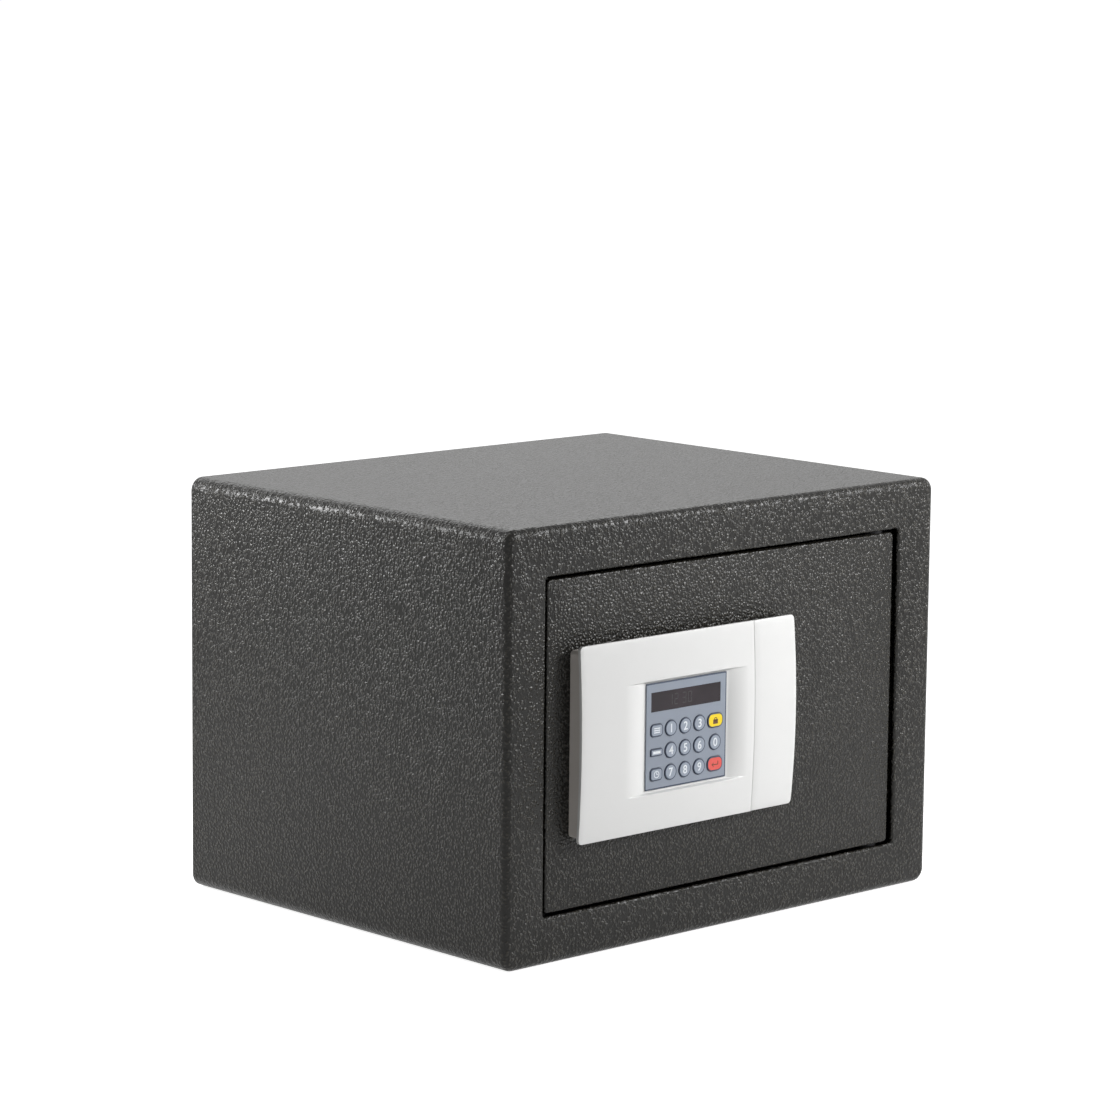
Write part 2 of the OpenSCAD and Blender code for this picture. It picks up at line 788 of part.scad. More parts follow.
// Tray screwed to the door plate: open to the front, with a wall beside the key cover's seam
module panel_base() {
    color(white_colour) at_front() difference() {
        union() {
            intersection() {
                union() {
                    slab(-panel_rise, door_front) difference() {
                        base_outline(0);
                        base_outline(panel_wall);
                    }
                    block([seam_x - 5.5, seam_x - 3.5], [-panel_rise, door_front],
                        [panel_b + base_step + 1, panel_t - base_step - 1]);
                    for (x = panel_screw_x, z = panel_screw_z)
                        rod_y(x, z, boss_r, [-panel_rise, base_front + 0.5]);
                }
                bow(panel_wall + shadow_gap);
            }
            slab(base_front, door_front) base_outline(panel_wall / 2);
        }
        // The key cover slides out to the right, so that end of the tray is open
        block([panel_r - 8, panel_r], [-panel_rise, base_front],
            [panel_b + base_step + panel_wall, panel_t - base_step - panel_wall]);
        for (x = panel_screw_x, z = panel_screw_z)
            rod_y(x, z, panel_screw_r + 0.05, [panel_screw_tip - 0.3, door_front + 1]);
        rod_y(cyl_x, mid_z, cyl_r + 0.1, [base_front - 1, door_front + 1]);
        rod_y(cable_x, cable_z, cable_r, [base_front - 1, door_front + 1]);
    }
}

// Ramp from the panel's surface down to the keypad's floor, with a long soft start at the top
function ramp(x0, y0, x1, y1) =
    [for (i = [0:ramp_steps]) let (t = i / ramp_steps)
        [x0 + (x1 - x0) * t, y0 + (y1 - y0) * pow(t * t * (3 - 2 * t), ramp_ease)]];

function reversed(path) = [for (i = [len(path) - 1:-1:0]) path[i]];

// Section through the keypad recess in x and y: a flat floor between two ramps
module recess_section(grow, floor_y) {
    top = -panel_rise - 0.2;
    l = pad_l - recess_rim - grow;
    r = pad_l + pad_w + recess_rim + grow;
    polygon(concat([[l - ramp_l, top - 6]], ramp(l - ramp_l, top, l, floor_y),
        reversed(ramp(r + ramp_r, top, r, floor_y)), [[r + ramp_r, top - 6]]));
}

module recess(grow, floor_y) {
    translate([0, 0, pad_b - recess_rim - grow])
        linear_extrude(height = pad_h + 2 * recess_rim + 2 * grow)
            recess_section(grow, floor_y);
}

// Moulded front of the panel: a bowed plate with the sunk keypad bed, posts and rim behind
module panel_face() {
    post_x = [pad_l - 4.5, pad_l + pad_w + 4];
    post_z = [pad_b + 0.5, pad_b + pad_h - 1];
    color(white_colour) at_front() difference() {
        union() {
            difference() {
                intersection() {
                    slab(-panel_rise - 1, 0) panel_share(panel_l - 1, seam_x - seam / 2);
                    bow(0);
                }
                bow(panel_wall);
            }
            intersection() {
                recess(ramp_wall, pad_floor + ramp_wall);
                bow(0);
            }
            for (x = post_x, z = post_z)
                rod_y(x, z, 2.2, [pad_floor, keypad_board_y]);
        }
        recess(0, pad_floor);
        block([pad_l + pad_window_rim, pad_l + pad_w - pad_window_rim],
            [pad_floor - 1, pad_floor + ramp_wall + 1],
            [pad_b + pad_window_rim, pad_b + pad_h - pad_window_rim]);
    }
}

// Half width, half height and corner radius of each key
function key_shape(name) =
    name == "set_key" || name == "clock_key" ? [4.7, 3.6, 2.2] :
    name == "menu_key" ? [4.6, 2.1, 0.8] :
    name == "lock_key" || name == "enter_key" ? [6.1, 4.2, 3.6] : [key_r, key_r, key_r];

// Column and row of each key on the keypad plate
function key_place(name) =
    name == "set_key" ? [0, 2] : name == "menu_key" ? [0, 1] : name == "clock_key" ? [0, 0] :
    name == "lock_key" ? [4, 2] : name == "digit_key_0" ? [4, 1] : name == "enter_key" ? [4, 0] :
    name == "digit_key_1" ? [1, 2] : name == "digit_key_2" ? [2, 2] :
    name == "digit_key_3" ? [3, 2] : name == "digit_key_4" ? [1, 1] :
    name == "digit_key_5" ? [2, 1] : name == "digit_key_6" ? [3, 1] :
    name == "digit_key_7" ? [1, 0] : name == "digit_key_8" ? [2, 0] : [3, 0];

KEYS = [
    "digit_key_0", "digit_key_1", "digit_key_2", "digit_key_3", "digit_key_4",
    "digit_key_5", "digit_key_6", "digit_key_7", "digit_key_8", "digit_key_9",
    "set_key", "menu_key", "clock_key", "lock_key", "enter_key"
];

// Outline of a key in x and z, grown all round
module key_outline(name, grow) {
    s = key_shape(name);
    p = key_place(name);
    x = key_col[p[0]];
    z = key_row[p[1]];
    if (s[0] == s[2])
        translate([x, z]) circle(s[0] + grow);
    else
        round_rect([x - s[0] - grow, x + s[0] + grow], [z - s[1] - grow, z + s[1] + grow],
            s[2] + grow);
}

module keypad_plate() {
    color(foil_colour) at_front() difference() {
        slab(pad_front, pad_floor)
            round_rect([pad_l, pad_l + pad_w], [pad_b, pad_b + pad_h], 1.5);
        for (n = KEYS)
            slab(pad_front - 1, pad_floor + 1) key_outline(n, key_gap);
        block([display_l, display_l + display_w], [pad_front - 1, pad_floor + 1],
            [display_b, display_b + display_h]);
    }
}

module display_window() {
    color("black", 0.6) at_front()
        block([display_l + seat_gap, display_l + display_w - seat_gap],
            [pad_front + 0.1, pad_floor],
            [display_b + seat_gap, display_b + display_h - seat_gap]);
}

module display_module() {
    color(black_colour) at_front()
        block([display_l - 1, display_l + display_w + 1],
            [pad_floor + seat_gap, keypad_board_y],
            [display_b - 1.5, display_b + display_h + 1.5]);
}

// Rubber mat behind the keys, with four locating holes
module key_mat() {
    color("gainsboro") at_front() difference() {
        slab(mat_y, mat_y + key_mat_t)
            round_rect([pad_l + 2, pad_l + pad_w - 2], [pad_b + 2.5, display_b - 2], 1.5);
        for (x = [key_col[1] - 5.75, key_col[3] + 6.4], z = [key_row[0] + 6.4, key_row[1] + 6.4])
            rod_y(x, z, 1, [mat_y - 1, mat_y + key_mat_t + 1]);
    }
}

module keypad_board() {
    x = [pad_l - 7, pad_l + pad_w + 6.5];
    z = [pad_b - 2, pad_b + pad_h + 1.5];
    color("darkgreen") at_front() block(x, [keypad_board_y, keypad_board_y + board_t], z);
}

module panel_screws() {
    color(zinc_colour) at_front() for (x = panel_screw_x, z = panel_screw_z)
        screw(x, z, panel_screw_r, 3.8, panel_screw_tip, door_back, 2.4);
}

// Strip over the emergency lock: bowed plate, right-hand wall and two guide tongues
module key_cover() {
    x = [seam_x + seam / 2, panel_r + 1];
    color(white_colour) at_front() {
        difference() {
            intersection() {
                slab(-panel_rise - 1, 0) panel_share(x[0], x[1]);
                bow(0);
            }
            bow(panel_wall);
        }
        intersection() {
            slab(-panel_rise, door_front - 0.4) difference() {
                panel_outline(base_step, 0.4);
                panel_outline(-base_step, 0.4 + panel_wall);
            }
            bow(0.1);
        }
        for (z = [panel_b + base_step + panel_wall + lid_slack,
                panel_t - base_step - panel_wall - lid_slack - tongue_t])
            intersection() {
                block([x[0] + 1, panel_r - 8.3], [-panel_rise, base_front - 1], [z, z + tongue_t]);
                bow(panel_wall / 2);
            }
    }
}

// Bolt carriage

module bolt_carriage() {
    z = [bolt_z[0] - carriage_ear, bolt_z[1] + carriage_ear];
    y = [bolt_y - 9, bolt_y + 9];
    color(zinc_colour) at_front() difference() {
        block([bolt_root_x, bolt_root_x + carriage_t], y, z);
        for (bz = bolt_z)
            rod_x(bolt_y, bz, screw_r + 0.1, [bolt_root_x - 1, bolt_root_x + carriage_t + 1]);
        for (dz = [-32, 32])
            block([bolt_root_x - 1, bolt_root_x + carriage_t + 1], [bolt_y - 4, bolt_y + 4],
                [mid_z + dz - 9, mid_z + dz + 9]);
    }
}

module bolt(z) {
    c = bolt_tip_chamfer;
    color("silver") at_front() difference() {
        union() {
            rod_x(bolt_y, z, bolt_r, [bolt_tip_x + c, bolt_root_x]);
            translate([bolt_tip_x, bolt_y, z]) rotate([0, 90, 0])
                cylinder(r1 = bolt_r - c, r2 = bolt_r, h = c);
        }
        rod_x(bolt_y, z, screw_r + 0.05, [bolt_root_x - 12, bolt_root_x + 1]);
    }
}

module bolt_upper() {
    bolt(bolt_z[1]);
}

module bolt_lower() {
    bolt(bolt_z[0]);
}

module bolt_screws() {
    head = bolt_root_x + carriage_t;
    color(zinc_colour) at_front() for (z = bolt_z) {
        rod_x(bolt_y, z, screw_r, [bolt_root_x - 11, head]);
        difference() {
            rod_x(bolt_y, z, screw_head_r, [head, head + 4]);
            translate([head + 1.5, bolt_y, z]) rotate([0, 90, 0])
                cylinder(r = 2.5, h = 3, $fn = 6);
        }
    }
}

// Rack tooth between two gaps, with straight flanks at the pressure angle
module rack_tooth() {
    half = PI * gear_module / 4 - backlash / 2;
    slope = tan(20);
    add = gear_module;
    ded = 1.25 * gear_module;
    polygon([[-half - slope * ded, -ded], [-half + slope * add, add],
        [half - slope * add, add], [half + slope * ded, -ded]]);
}

// Bar from the carriage to the release peg, with teeth where the pinion runs
module drive_rack() {
    z = [rack_z - rack_h / 2, rack_z + rack_h / 2];
    pitch = PI * gear_module;
    first = pinion_x - 3.5 * pitch;
    color(zinc_colour) at_front() {
        block([bolt_root_x + carriage_t, peg_x + peg_r + 1], [rack_y, rack_root_y], z);
        for (i = [0:rack_teeth - 1])
            translate([first + i * pitch, rack_pitch_y, z[0]])
                linear_extrude(height = rack_h) rack_tooth();
    }
}

module release_peg() {
    color("silver") at_front() rod_y(peg_x, rack_z, peg_r, [rack_root_y, cam_y + cam_t + 1]);
}

// Pinion

function involute(angle) = tan(angle) - angle * PI / 180;
// Half width of a pinion tooth at a radius, in degrees
function tooth_half(radius, base) =
    (PI / 2 - backlash / gear_module) / pinion_teeth * 180 / PI
    + (involute(20) - involute(acos(min(1, base / radius)))) * 180 / PI;

module pinion_outline() {
    base = pinion_pitch_r * cos(20);
    radii = [pinion_pitch_r - 1.25 * gear_module, base, base + 0.3 * gear_module,
        pinion_pitch_r, pinion_pitch_r + 0.5 * gear_module, pinion_pitch_r + gear_module];
    flank = [for (r = radii) [r, tooth_half(max(r, base), base)]];
    n = len(flank);
    polygon([for (i = [0:pinion_teeth - 1]) let (turn = 270 + i * 360 / pinion_teeth)
        for (k = [0:2 * n - 1]) let (f = k < n ? flank[k] : flank[2 * n - 1 - k],
            a = turn + (k < n ? -f[1] : f[1])) [f[0] * cos(a), f[0] * sin(a)]]);
}

// Pinion and the gearbox's output shaft, turned from one bar
module drive_pinion() {
    color("goldenrod") at_front() {
        translate([pinion_x, pinion_y, rack_z - pinion_t / 2])
            linear_extrude(height = pinion_t) pinion_outline();
        rod_z(pinion_x, pinion_y, shaft_r, [rack_z - pinion_t / 2 - 1.5, gearbox_z + 4]);
    }
}

// Emergency lock

module cylinder_plug() {
    color("gold") at_front() difference() {
        union() {
            rod_y(cyl_x, mid_z, plug_r, [cyl_front - 0.2, cam_y - 0.1]);
            rod_y(cyl_x, mid_z, plug_r + 1.2, [cyl_front - plug_head_t, cyl_front - run_clear]);
            rod_y(cyl_x, mid_z, 3, [cam_y - 0.1, cam_y + cam_t]);
        }
        block([cyl_x - 0.8, cyl_x + 0.8], [cyl_front - 2, cyl_front + 18],
            [mid_z - 3.5, mid_z + 4.5]);
    }
}

// Lever on the plug: it points at the lock side at rest and swings down behind the rack
module release_cam() {
    color(zinc_colour) at_front() difference() {
        slab(cam_y, cam_y + cam_t) {
            translate([cyl_x, mid_z]) circle(plug_r + 1);
            translate([cyl_x - cam_len + cam_half_w, mid_z - cam_half_w])
                square([cam_len - cam_half_w, 2 * cam_half_w]);
            translate([cyl_x - cam_len + cam_half_w, mid_z]) circle(cam_half_w);
        }
        rod_y(cyl_x, mid_z, 3.02, [cam_y - 1, cam_y + cam_t + 1]);
    }
}

module cam_screw() {
    color("silver") at_front() difference() {
        rod_y(cyl_x, mid_z, 4.5, [cam_y + cam_t, cam_y + cam_t + 2.5]);
        block([cyl_x - 3, cyl_x + 3], [cam_y + cam_t + 1.5, cam_y + cam_t + 3],
            [mid_z - 0.5, mid_z + 0.5]);
    }
}

// Battery lid

module battery_lid() {
    x = [holder_x - lid_margin, holder_x + holder_w + lid_margin];
    z = [holder_z - lid_margin, holder_z + holder_h + lid_margin];
    y = [cover_y + lid_slack, cover_y + lid_slack + lid_t];
    color(black_colour) at_front() {
        block(x, y, z);
        for (i = [0:4])
            block([x[0] + 5 + 3 * i, x[0] + 6.4 + 3 * i], [y[1], y[1] + 1],
                [(z[0] + z[1]) / 2 - 10, (z[0] + z[1]) / 2 + 10]);
    }
}

// Keys

// Cap through the plate, flange behind it and a stem towards the mat
module key(name, colour) {
    s = key_shape(name);
    p = key_place(name);
    color(colour) at_front() {
        slab(pad_front - key_rise, flange_y + 0.1) key_outline(name, 0);
        slab(flange_y, flange_y + flange_t) key_outline(name, key_gap + key_flange);
        rod_y(key_col[p[0]], key_row[p[1]], min(key_stem_r, s[1]), [flange_y, stem_end_y]);
    }
}

cabinet_shell();
front_frame();
back_panel();
strike_strip();
hinge_brackets();
floor_mat();
door_plate();
hinge_flange();
hinge_lugs();
hinge_pins();
bolt_guide();
rack_guide();
motor_can();
motor_gearbox();
motor_bracket();
lock_cover();
cover_screws();
battery_holder();
battery_contacts();
battery_cells();
control_board();
board_standoffs();
board_lead();
cylinder_housing();
cylinder_nut();
panel_base();
panel_face();
keypad_plate();
display_window();
display_module();
key_mat();
keypad_board();
panel_screws();
bolt_carriage();
bolt_upper();
bolt_lower();
bolt_screws();
drive_rack();
release_peg();
drive_pinion();
cylinder_plug();
release_cam();
cam_screw();
key_cover();
battery_lid();
key("digit_key_0", foil_colour);  // digit_key_0
key("digit_key_1", foil_colour);  // digit_key_1
key("digit_key_2", foil_colour);  // digit_key_2
key("digit_key_3", foil_colour);  // digit_key_3
key("digit_key_4", foil_colour);  // digit_key_4
key("digit_key_5", foil_colour);  // digit_key_5
key("digit_key_6", foil_colour);  // digit_key_6
key("digit_key_7", foil_colour);  // digit_key_7
key("digit_key_8", foil_colour);  // digit_key_8
key("digit_key_9", foil_colour);  // digit_key_9
key("set_key", foil_colour);  // set_key
key("menu_key", foil_colour);  // menu_key
key("clock_key", foil_colour);  // clock_key
key("lock_key", "gold");  // lock_key
key("enter_key", "tomato");  // enter_key
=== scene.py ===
"""Looks of a furniture safe with a keypad lock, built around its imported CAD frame.

Sizes are in millimetres and in door coordinates, as in the part's source: x to the right, y into
the safe from the cabinet's front face, z up from the floor. Each piece is turned into the frame's
metres when it is finished.
"""

import logging
import math
from dataclasses import dataclass, field
from enum import Enum

import bmesh
import bpy
from bmesh.types import BMEdge, BMesh, BMFace, BMVert
from bpy.types import ID, Material, Node, NodeSocket, NodeTree, Object
from mathutils import Matrix, Vector


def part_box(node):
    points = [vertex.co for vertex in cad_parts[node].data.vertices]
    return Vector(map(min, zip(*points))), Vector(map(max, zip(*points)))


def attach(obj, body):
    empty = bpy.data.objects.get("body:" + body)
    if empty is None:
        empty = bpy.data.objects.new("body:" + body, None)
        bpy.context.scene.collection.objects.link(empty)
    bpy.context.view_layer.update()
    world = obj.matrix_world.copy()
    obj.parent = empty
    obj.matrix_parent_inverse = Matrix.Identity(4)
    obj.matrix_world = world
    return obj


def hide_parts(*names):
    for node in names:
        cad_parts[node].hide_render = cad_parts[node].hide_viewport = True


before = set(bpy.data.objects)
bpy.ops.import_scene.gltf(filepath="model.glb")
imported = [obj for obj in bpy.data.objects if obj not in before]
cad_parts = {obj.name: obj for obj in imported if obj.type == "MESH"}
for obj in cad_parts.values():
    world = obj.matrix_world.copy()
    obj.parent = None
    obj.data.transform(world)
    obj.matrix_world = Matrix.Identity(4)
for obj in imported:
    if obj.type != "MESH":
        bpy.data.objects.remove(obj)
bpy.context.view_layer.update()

log = logging.getLogger("furniture_safe")

MM = 0.001
FRONT_Y = -140.0
TO_FRAME = Matrix.Scale(MM, 4) @ Matrix.Translation((0.0, FRONT_Y, 0.0))
FROM_FRAME = TO_FRAME.inverted()

# Tolerances in millimetres and angles in degrees for work on meshes
SAME_MM = 1e-3
CUT_MM = 1e-4
MERGE_MM = 2e-3
PARALLEL = 0.999
FLAT_DEGREES = 0.6
SHARP_DEGREES = 42.0
WORN_DEGREES = 40.0
RIM_DEGREES = 55.0
MOULDED_DEGREES = 50.0

# How far a cutter runs past what it cuts, in millimetres
PAST = 1.0

Span = tuple[float, float]
Point = tuple[float, float, float]


class Body(Enum):
    """Bodies of the frame that the new pieces ride on."""

    CABINET = "cabinet"
    DOOR = "door"
    BOLTS = "bolts"
    KEY_COVER = "key_cover"
    BATTERY_LID = "battery_lid"


class Slot(Enum):
    """Material slots of the record, listed for the new pieces."""

    CABINET_PAINT = "cabinet_paint"
    DOOR_PAINT = "door_paint"
    FLOOR_FELT = "floor_felt"
    ZINC_STEEL = "zinc_steel"
    BOLT_STEEL = "bolt_steel"
    CASE_PLASTIC = "case_plastic"
    PANEL_WHITE = "panel_white"
    PANEL_GREY = "panel_grey"
    KEYPAD_FOIL = "keypad_foil"
    DISPLAY_GLASS = "display_glass"
    KEY_GREY = "key_grey"
    KEY_YELLOW = "key_yellow"
    KEY_RED = "key_red"


def linear(hex_colour: str) -> tuple[float, float, float, float]:
    """Turns an sRGB hex colour into Blender's linear colour.

    Args:
        hex_colour: Colour such as "#3f3e3a".

    Returns:
        Red, green, blue and alpha, linear.
    """
    digits = hex_colour.lstrip("#")
    parts = [int(digits[i : i + 2], 16) / 255 for i in (0, 2, 4)]
    lin = [c / 12.92 if c <= 0.04045 else ((c + 0.055) / 1.055) ** 2.4 for c in parts]
    return lin[0], lin[1], lin[2], 1.0


def per_metre(size_mm: float) -> float:
    """Scale of a pattern on Object coordinates whose features are size_mm apart."""
    return 1.0 / (size_mm * MM)


def add_node(
    tree: NodeTree,
    kind: str,
    settings: dict[str | int, object] | None = None,
    links: dict[str | int, NodeSocket] | None = None,
) -> Node:
    """Adds a shader node with its settings and links.

    Args:
        tree: Node tree that takes the node.
        kind: Blender's name of the node type.
        settings: Properties of the node, or default values of its inputs by name or index.
        links: Output sockets to link, by the input's name or index.

    Returns:
        The new node.
    """
    node = tree.nodes.new(kind)
    for key, value in (settings or {}).items():
        if isinstance(key, str) and hasattr(node, key):
            setattr(node, key, value)
        else:
            node.inputs[key].default_value = value
    for key, socket in (links or {}).items():
        tree.links.new(socket, node.inputs[key])
    return node


def noise(
    tree: NodeTree,
    place: NodeSocket,
    size_mm: float,
    detail: float = 2.0,
    **more: float,
) -> Node:
    """Adds a noise pattern.

    Args:
        tree: Node tree that takes the node.
        place: Object coordinates.
        size_mm: Distance between features.
        detail: Octaves of the noise.
        more: Values of further inputs.

    Returns:
        The noise node.
    """
    settings = {"Scale": per_metre(size_mm), "Detail": detail, **more}
    return add_node(tree, "ShaderNodeTexNoise", settings, {"Vector": place})


def calculate(
    tree: NodeTree, operation: str, *values: NodeSocket | float
) -> NodeSocket:
    """Adds a math node.

    Args:
        tree: Node tree that takes the node.
        operation: Blender's name of the operation.
        values: Its inputs in order, as sockets to link or as plain numbers.

    Returns:
        The result's socket.
    """
    settings: dict[str | int, object] = {"operation": operation}
    links: dict[str | int, NodeSocket] = {}
    for index, value in enumerate(values):
        if isinstance(value, NodeSocket):
            links[index] = value
        else:
            settings[index] = value
    return add_node(tree, "ShaderNodeMath", settings, links).outputs[0]


def remap(
    tree: NodeTree,
    value: NodeSocket,
    target: Span,
    source: Span = (0.0, 1.0),
    curve: str = "LINEAR",
) -> NodeSocket:
    """Carries a value from one range to another.

    Args:
        tree: Node tree that takes the node.
        value: Socket of the value.
        target: Range that it is carried to.
        source: Range that it comes from.
        curve: Blender's name of the interpolation.

    Returns:
        The socket of the new value.
    """
    settings = {
        "interpolation_type": curve,
        "From Min": source[0],
        "From Max": source[1],
        "To Min": target[0],
        "To Max": target[1],
    }
    return add_node(tree, "ShaderNodeMapRange", settings, {"Value": value}).outputs[0]


def seen_white(tree: NodeTree) -> NodeSocket:
    """1 for the rays that see the background: camera, glossy and transmission rays."""
    path = add_node(tree, "ShaderNodeLightPath")
    camera, glossy, through = (
        path.outputs[f"Is {kind} Ray"] for kind in ("Camera", "Glossy", "Transmission")
    )
    return calculate(tree, "MAXIMUM", calculate(tree, "MAXIMUM", camera, glossy), through)


# Finishes


@dataclass(frozen=True)
class Finish:
    """Base of every finish: a named material on a principled shader."""

    name: str
    colour: str
    roughness: float = 0.5
    metallic: float = 0.0

    def material(self) -> Material:
        """Builds the material once and returns it."""
        found = bpy.data.materials.get(self.name)
        if found is not None:
            return found
        material = bpy.data.materials.new(self.name)
        material.use_nodes = True
        material.diffuse_color = linear(self.colour)
        tree = material.node_tree
        shader = tree.nodes["Principled BSDF"]
        shader.inputs["Base Color"].default_value = linear(self.colour)
        shader.inputs["Roughness"].default_value = self.roughness
        shader.inputs["Metallic"].default_value = self.metallic
        self.dress(tree, shader)
        return material

    def dress(self, tree: NodeTree, shader: Node) -> None:
        """Adds what is special to the finish.

        Args:
            tree: Node tree of the material.
            shader: Its principled shader.
        """

    def place(self, tree: NodeTree) -> NodeSocket:
        """Object coordinates, in metres, for the patterns of the finish."""
        return add_node(tree, "ShaderNodeTexCoord").outputs["Object"]

    def vary_roughness(
        self, shader: Node, share: NodeSocket, less: float, more: float
    ) -> None:
        """Lets the roughness run a little below and above its own value.

        Args:
            shader: Principled shader of the material.
            share: Pattern from 0 to 1.
            less: How far it goes below.
            more: How far it goes above.
        """
        tree = shader.id_data
        rough = remap(tree, share, (self.roughness - less, self.roughness + more))
        tree.links.new(rough, shader.inputs["Roughness"])

    def relief(
        self,
        shader: Node,
        height: NodeSocket,
        depth_mm: float,
        strength: float = 1.0,
    ) -> None:
        """Gives the surface a bump of a real depth.

        Args:
            shader: Principled shader of the material.
            height: Pattern of the relief.
            depth_mm: Its depth.
            strength: Share of the depth that shows.
        """
        tree = shader.id_data
        settings = {"Strength": strength, "Distance": depth_mm * MM}
        bump = add_node(tree, "ShaderNodeBump", settings, {"Height": height})
        tree.links.new(bump.outputs[0], shader.inputs["Normal"])

    def shade(self, shader: Node, level: NodeSocket) -> None:
        """Multiplies the colour by a level.

        Args:
            shader: Principled shader of the material.
            level: Socket of the level.
        """
        tree = shader.id_data
        settings = {"data_type": "RGBA", "blend_type": "MULTIPLY", "Factor": 1.0}
        settings[6] = linear(self.colour)
        tint = add_node(tree, "ShaderNodeMix", settings, {7: level})
        tree.links.new(tint.outputs[2], shader.inputs["Base Color"])

    def two_tone(
        self, shader: Node, second: str, share: NodeSocket
    ) -> None:
        """Mixes the colour with a second one.

        Args:
            shader: Principled shader of the material.
            second: The second colour, as a hex colour.
            share: Share of the second colour.
        """
        tree = shader.id_data
        settings = {"data_type": "RGBA", 6: linear(self.colour), 7: linear(second)}
        tint = add_node(tree, "ShaderNodeMix", settings, {0: share})
        tree.links.new(tint.outputs[2], shader.inputs["Base Color"])


@dataclass(frozen=True)
class StructureCoat(Finish):
    """Structure powder coat: the powder flows into a leathery skin of bumps as it cures."""

    grain_mm: float = 1.9
    bump_mm: float = 0.4
    gloss: float = 0.24
    # colour levels of the painted shade in the valleys and the painted light on the crests
    valley: float = 0.3
    crest: float = 1.85
    peel_share: float = 0.15
    cloud_mm: float = 55.0

    def dress(self, tree: NodeTree, shader: Node) -> None:
        """Bent bumps with painted shade in their valleys and painted light on their crests, a
        finer peel, and a drift of the colour.
        """
        place = self.place(tree)
        flow = noise(tree, place, self.grain_mm * 1.5, 1.0)
        bent = add_node(
            tree,
            "ShaderNodeVectorMath",
            {"operation": "MULTIPLY_ADD", 1: (self.grain_mm * 1.2 * MM,) * 3},
            {0: flow.outputs["Color"], 2: place},
        )
        cells = add_node(
            tree,
            "ShaderNodeTexVoronoi",
            {"Scale": per_metre(self.grain_mm), "Randomness": 0.9},
            {"Vector": bent.outputs[0]},
        )
        worms = remap(tree, cells.outputs["Distance"], (0.0, 1.0), (0.7, 0.0), "SMOOTHSTEP")
        peel = noise(tree, place, self.grain_mm * 0.5, 1.0, Roughness=0.5)
        swell = calculate(tree, "MULTIPLY_ADD", peel.outputs["Fac"], self.peel_share, worms)
        cloud = noise(tree, place, self.cloud_mm)
        drift = remap(tree, cloud.outputs["Fac"], (0.9, 1.1), (0.3, 0.7))
        # painted shade and light: the colour is darker in the bumps' valleys and lighter on their
        # crests
        depth = remap(tree, swell, (self.valley, self.crest), (0.35, 1.0))
        self.shade(shader, calculate(tree, "MULTIPLY", drift, depth))
        self.relief(shader, swell, self.bump_mm)
        shader.inputs["Specular IOR Level"].default_value = self.gloss


@dataclass(frozen=True)
class ZincPlate(Finish):
    """Zinc-plated steel: pale, slightly cloudy metal."""

    cloud_mm: float = 9.0

    def dress(self, tree: NodeTree, shader: Node) -> None:
        """Clouds in the plating, in tone and in gloss."""
        clouds = noise(tree, self.place(tree), self.cloud_mm, 4.0).outputs["Fac"]
        self.vary_roughness(shader, clouds, 0.1, 0.14)
        self.shade(shader, remap(tree, clouds, (0.84, 1.0), (0.3, 0.7)))


@dataclass(frozen=True)
class TurnedMetal(Finish):
    """Metal turned or ground on a machine: fine rings or lines across one axis."""

    axis: int = 0
    pitch_mm: float = 0.35
    run_mm: float = 14.0

    def dress(self, tree: NodeTree, shader: Node) -> None:
        """Fine tool marks across the axis, drawn a little coarser than real so that they show."""
        scale = [per_metre(self.run_mm)] * 3
        scale[self.axis] = per_metre(self.pitch_mm)
        stretched = add_node(
            tree, "ShaderNodeMapping", {"Scale": tuple(scale)}, {"Vector": self.place(tree)}
        )
        marks = add_node(
            tree,
            "ShaderNodeTexNoise",
            {"Scale": 1.0, "Detail": 2.0},
            {"Vector": stretched.outputs[0]},
        ).outputs["Fac"]
        self.vary_roughness(shader, marks, 0.08, 0.12)
        self.relief(shader, marks, 0.02, 0.25)


@dataclass(frozen=True)
class MouldedPlastic(Finish):
    """Injection-moulded plastic: an even eroded grain from the mould and a soft gloss."""

    grain_mm: float = 0.7
    bump_mm: float = 0.012
    coat: float = 0.0
    cloud_mm: float = 40.0

    def dress(self, tree: NodeTree, shader: Node) -> None:
        """Mould grain and a slight change of gloss over the part."""
        place = self.place(tree)
        wander = noise(tree, place, self.cloud_mm, 3.0).outputs["Fac"]
        self.vary_roughness(shader, wander, 0.04, 0.05)
        self.relief(shader, noise(tree, place, self.grain_mm).outputs["Fac"], self.bump_mm, 0.4)
        shader.inputs["Coat Weight"].default_value = self.coat
        shader.inputs["Coat Roughness"].default_value = 0.15


@dataclass(frozen=True)
class Felt(Finish):
    """Needle-punched felt: matted fibres with a little pile."""

    dark: str = "#1d1d1f"
    fibre_mm: float = 1.1
    pile_mm: float = 0.4

    def dress(self, tree: NodeTree, shader: Node) -> None:
        """Matted fibres about a millimetre long, with painted shade where the pile is low."""
        place = self.place(tree)
        fibres = noise(tree, place, self.fibre_mm, 5.0, Roughness=0.7, Distortion=1.5)
        tone = add_node(tree, "ShaderNodeValToRGB", {}, {"Fac": fibres.outputs["Fac"]})
        # painted shade: the dark tone falls where the bumped pile lies low
        shadow, pile = tone.color_ramp.elements
        shadow.position, shadow.color = 0.3, linear(self.dark)
        pile.position, pile.color = 0.75, linear(self.colour)
        shader.inputs["Sheen Weight"].default_value = 0.35
        shader.inputs["Sheen Roughness"].default_value = 0.5
        tree.links.new(tone.outputs["Color"], shader.inputs["Base Color"])
        self.relief(shader, fibres.outputs["Fac"], self.pile_mm, 0.9)


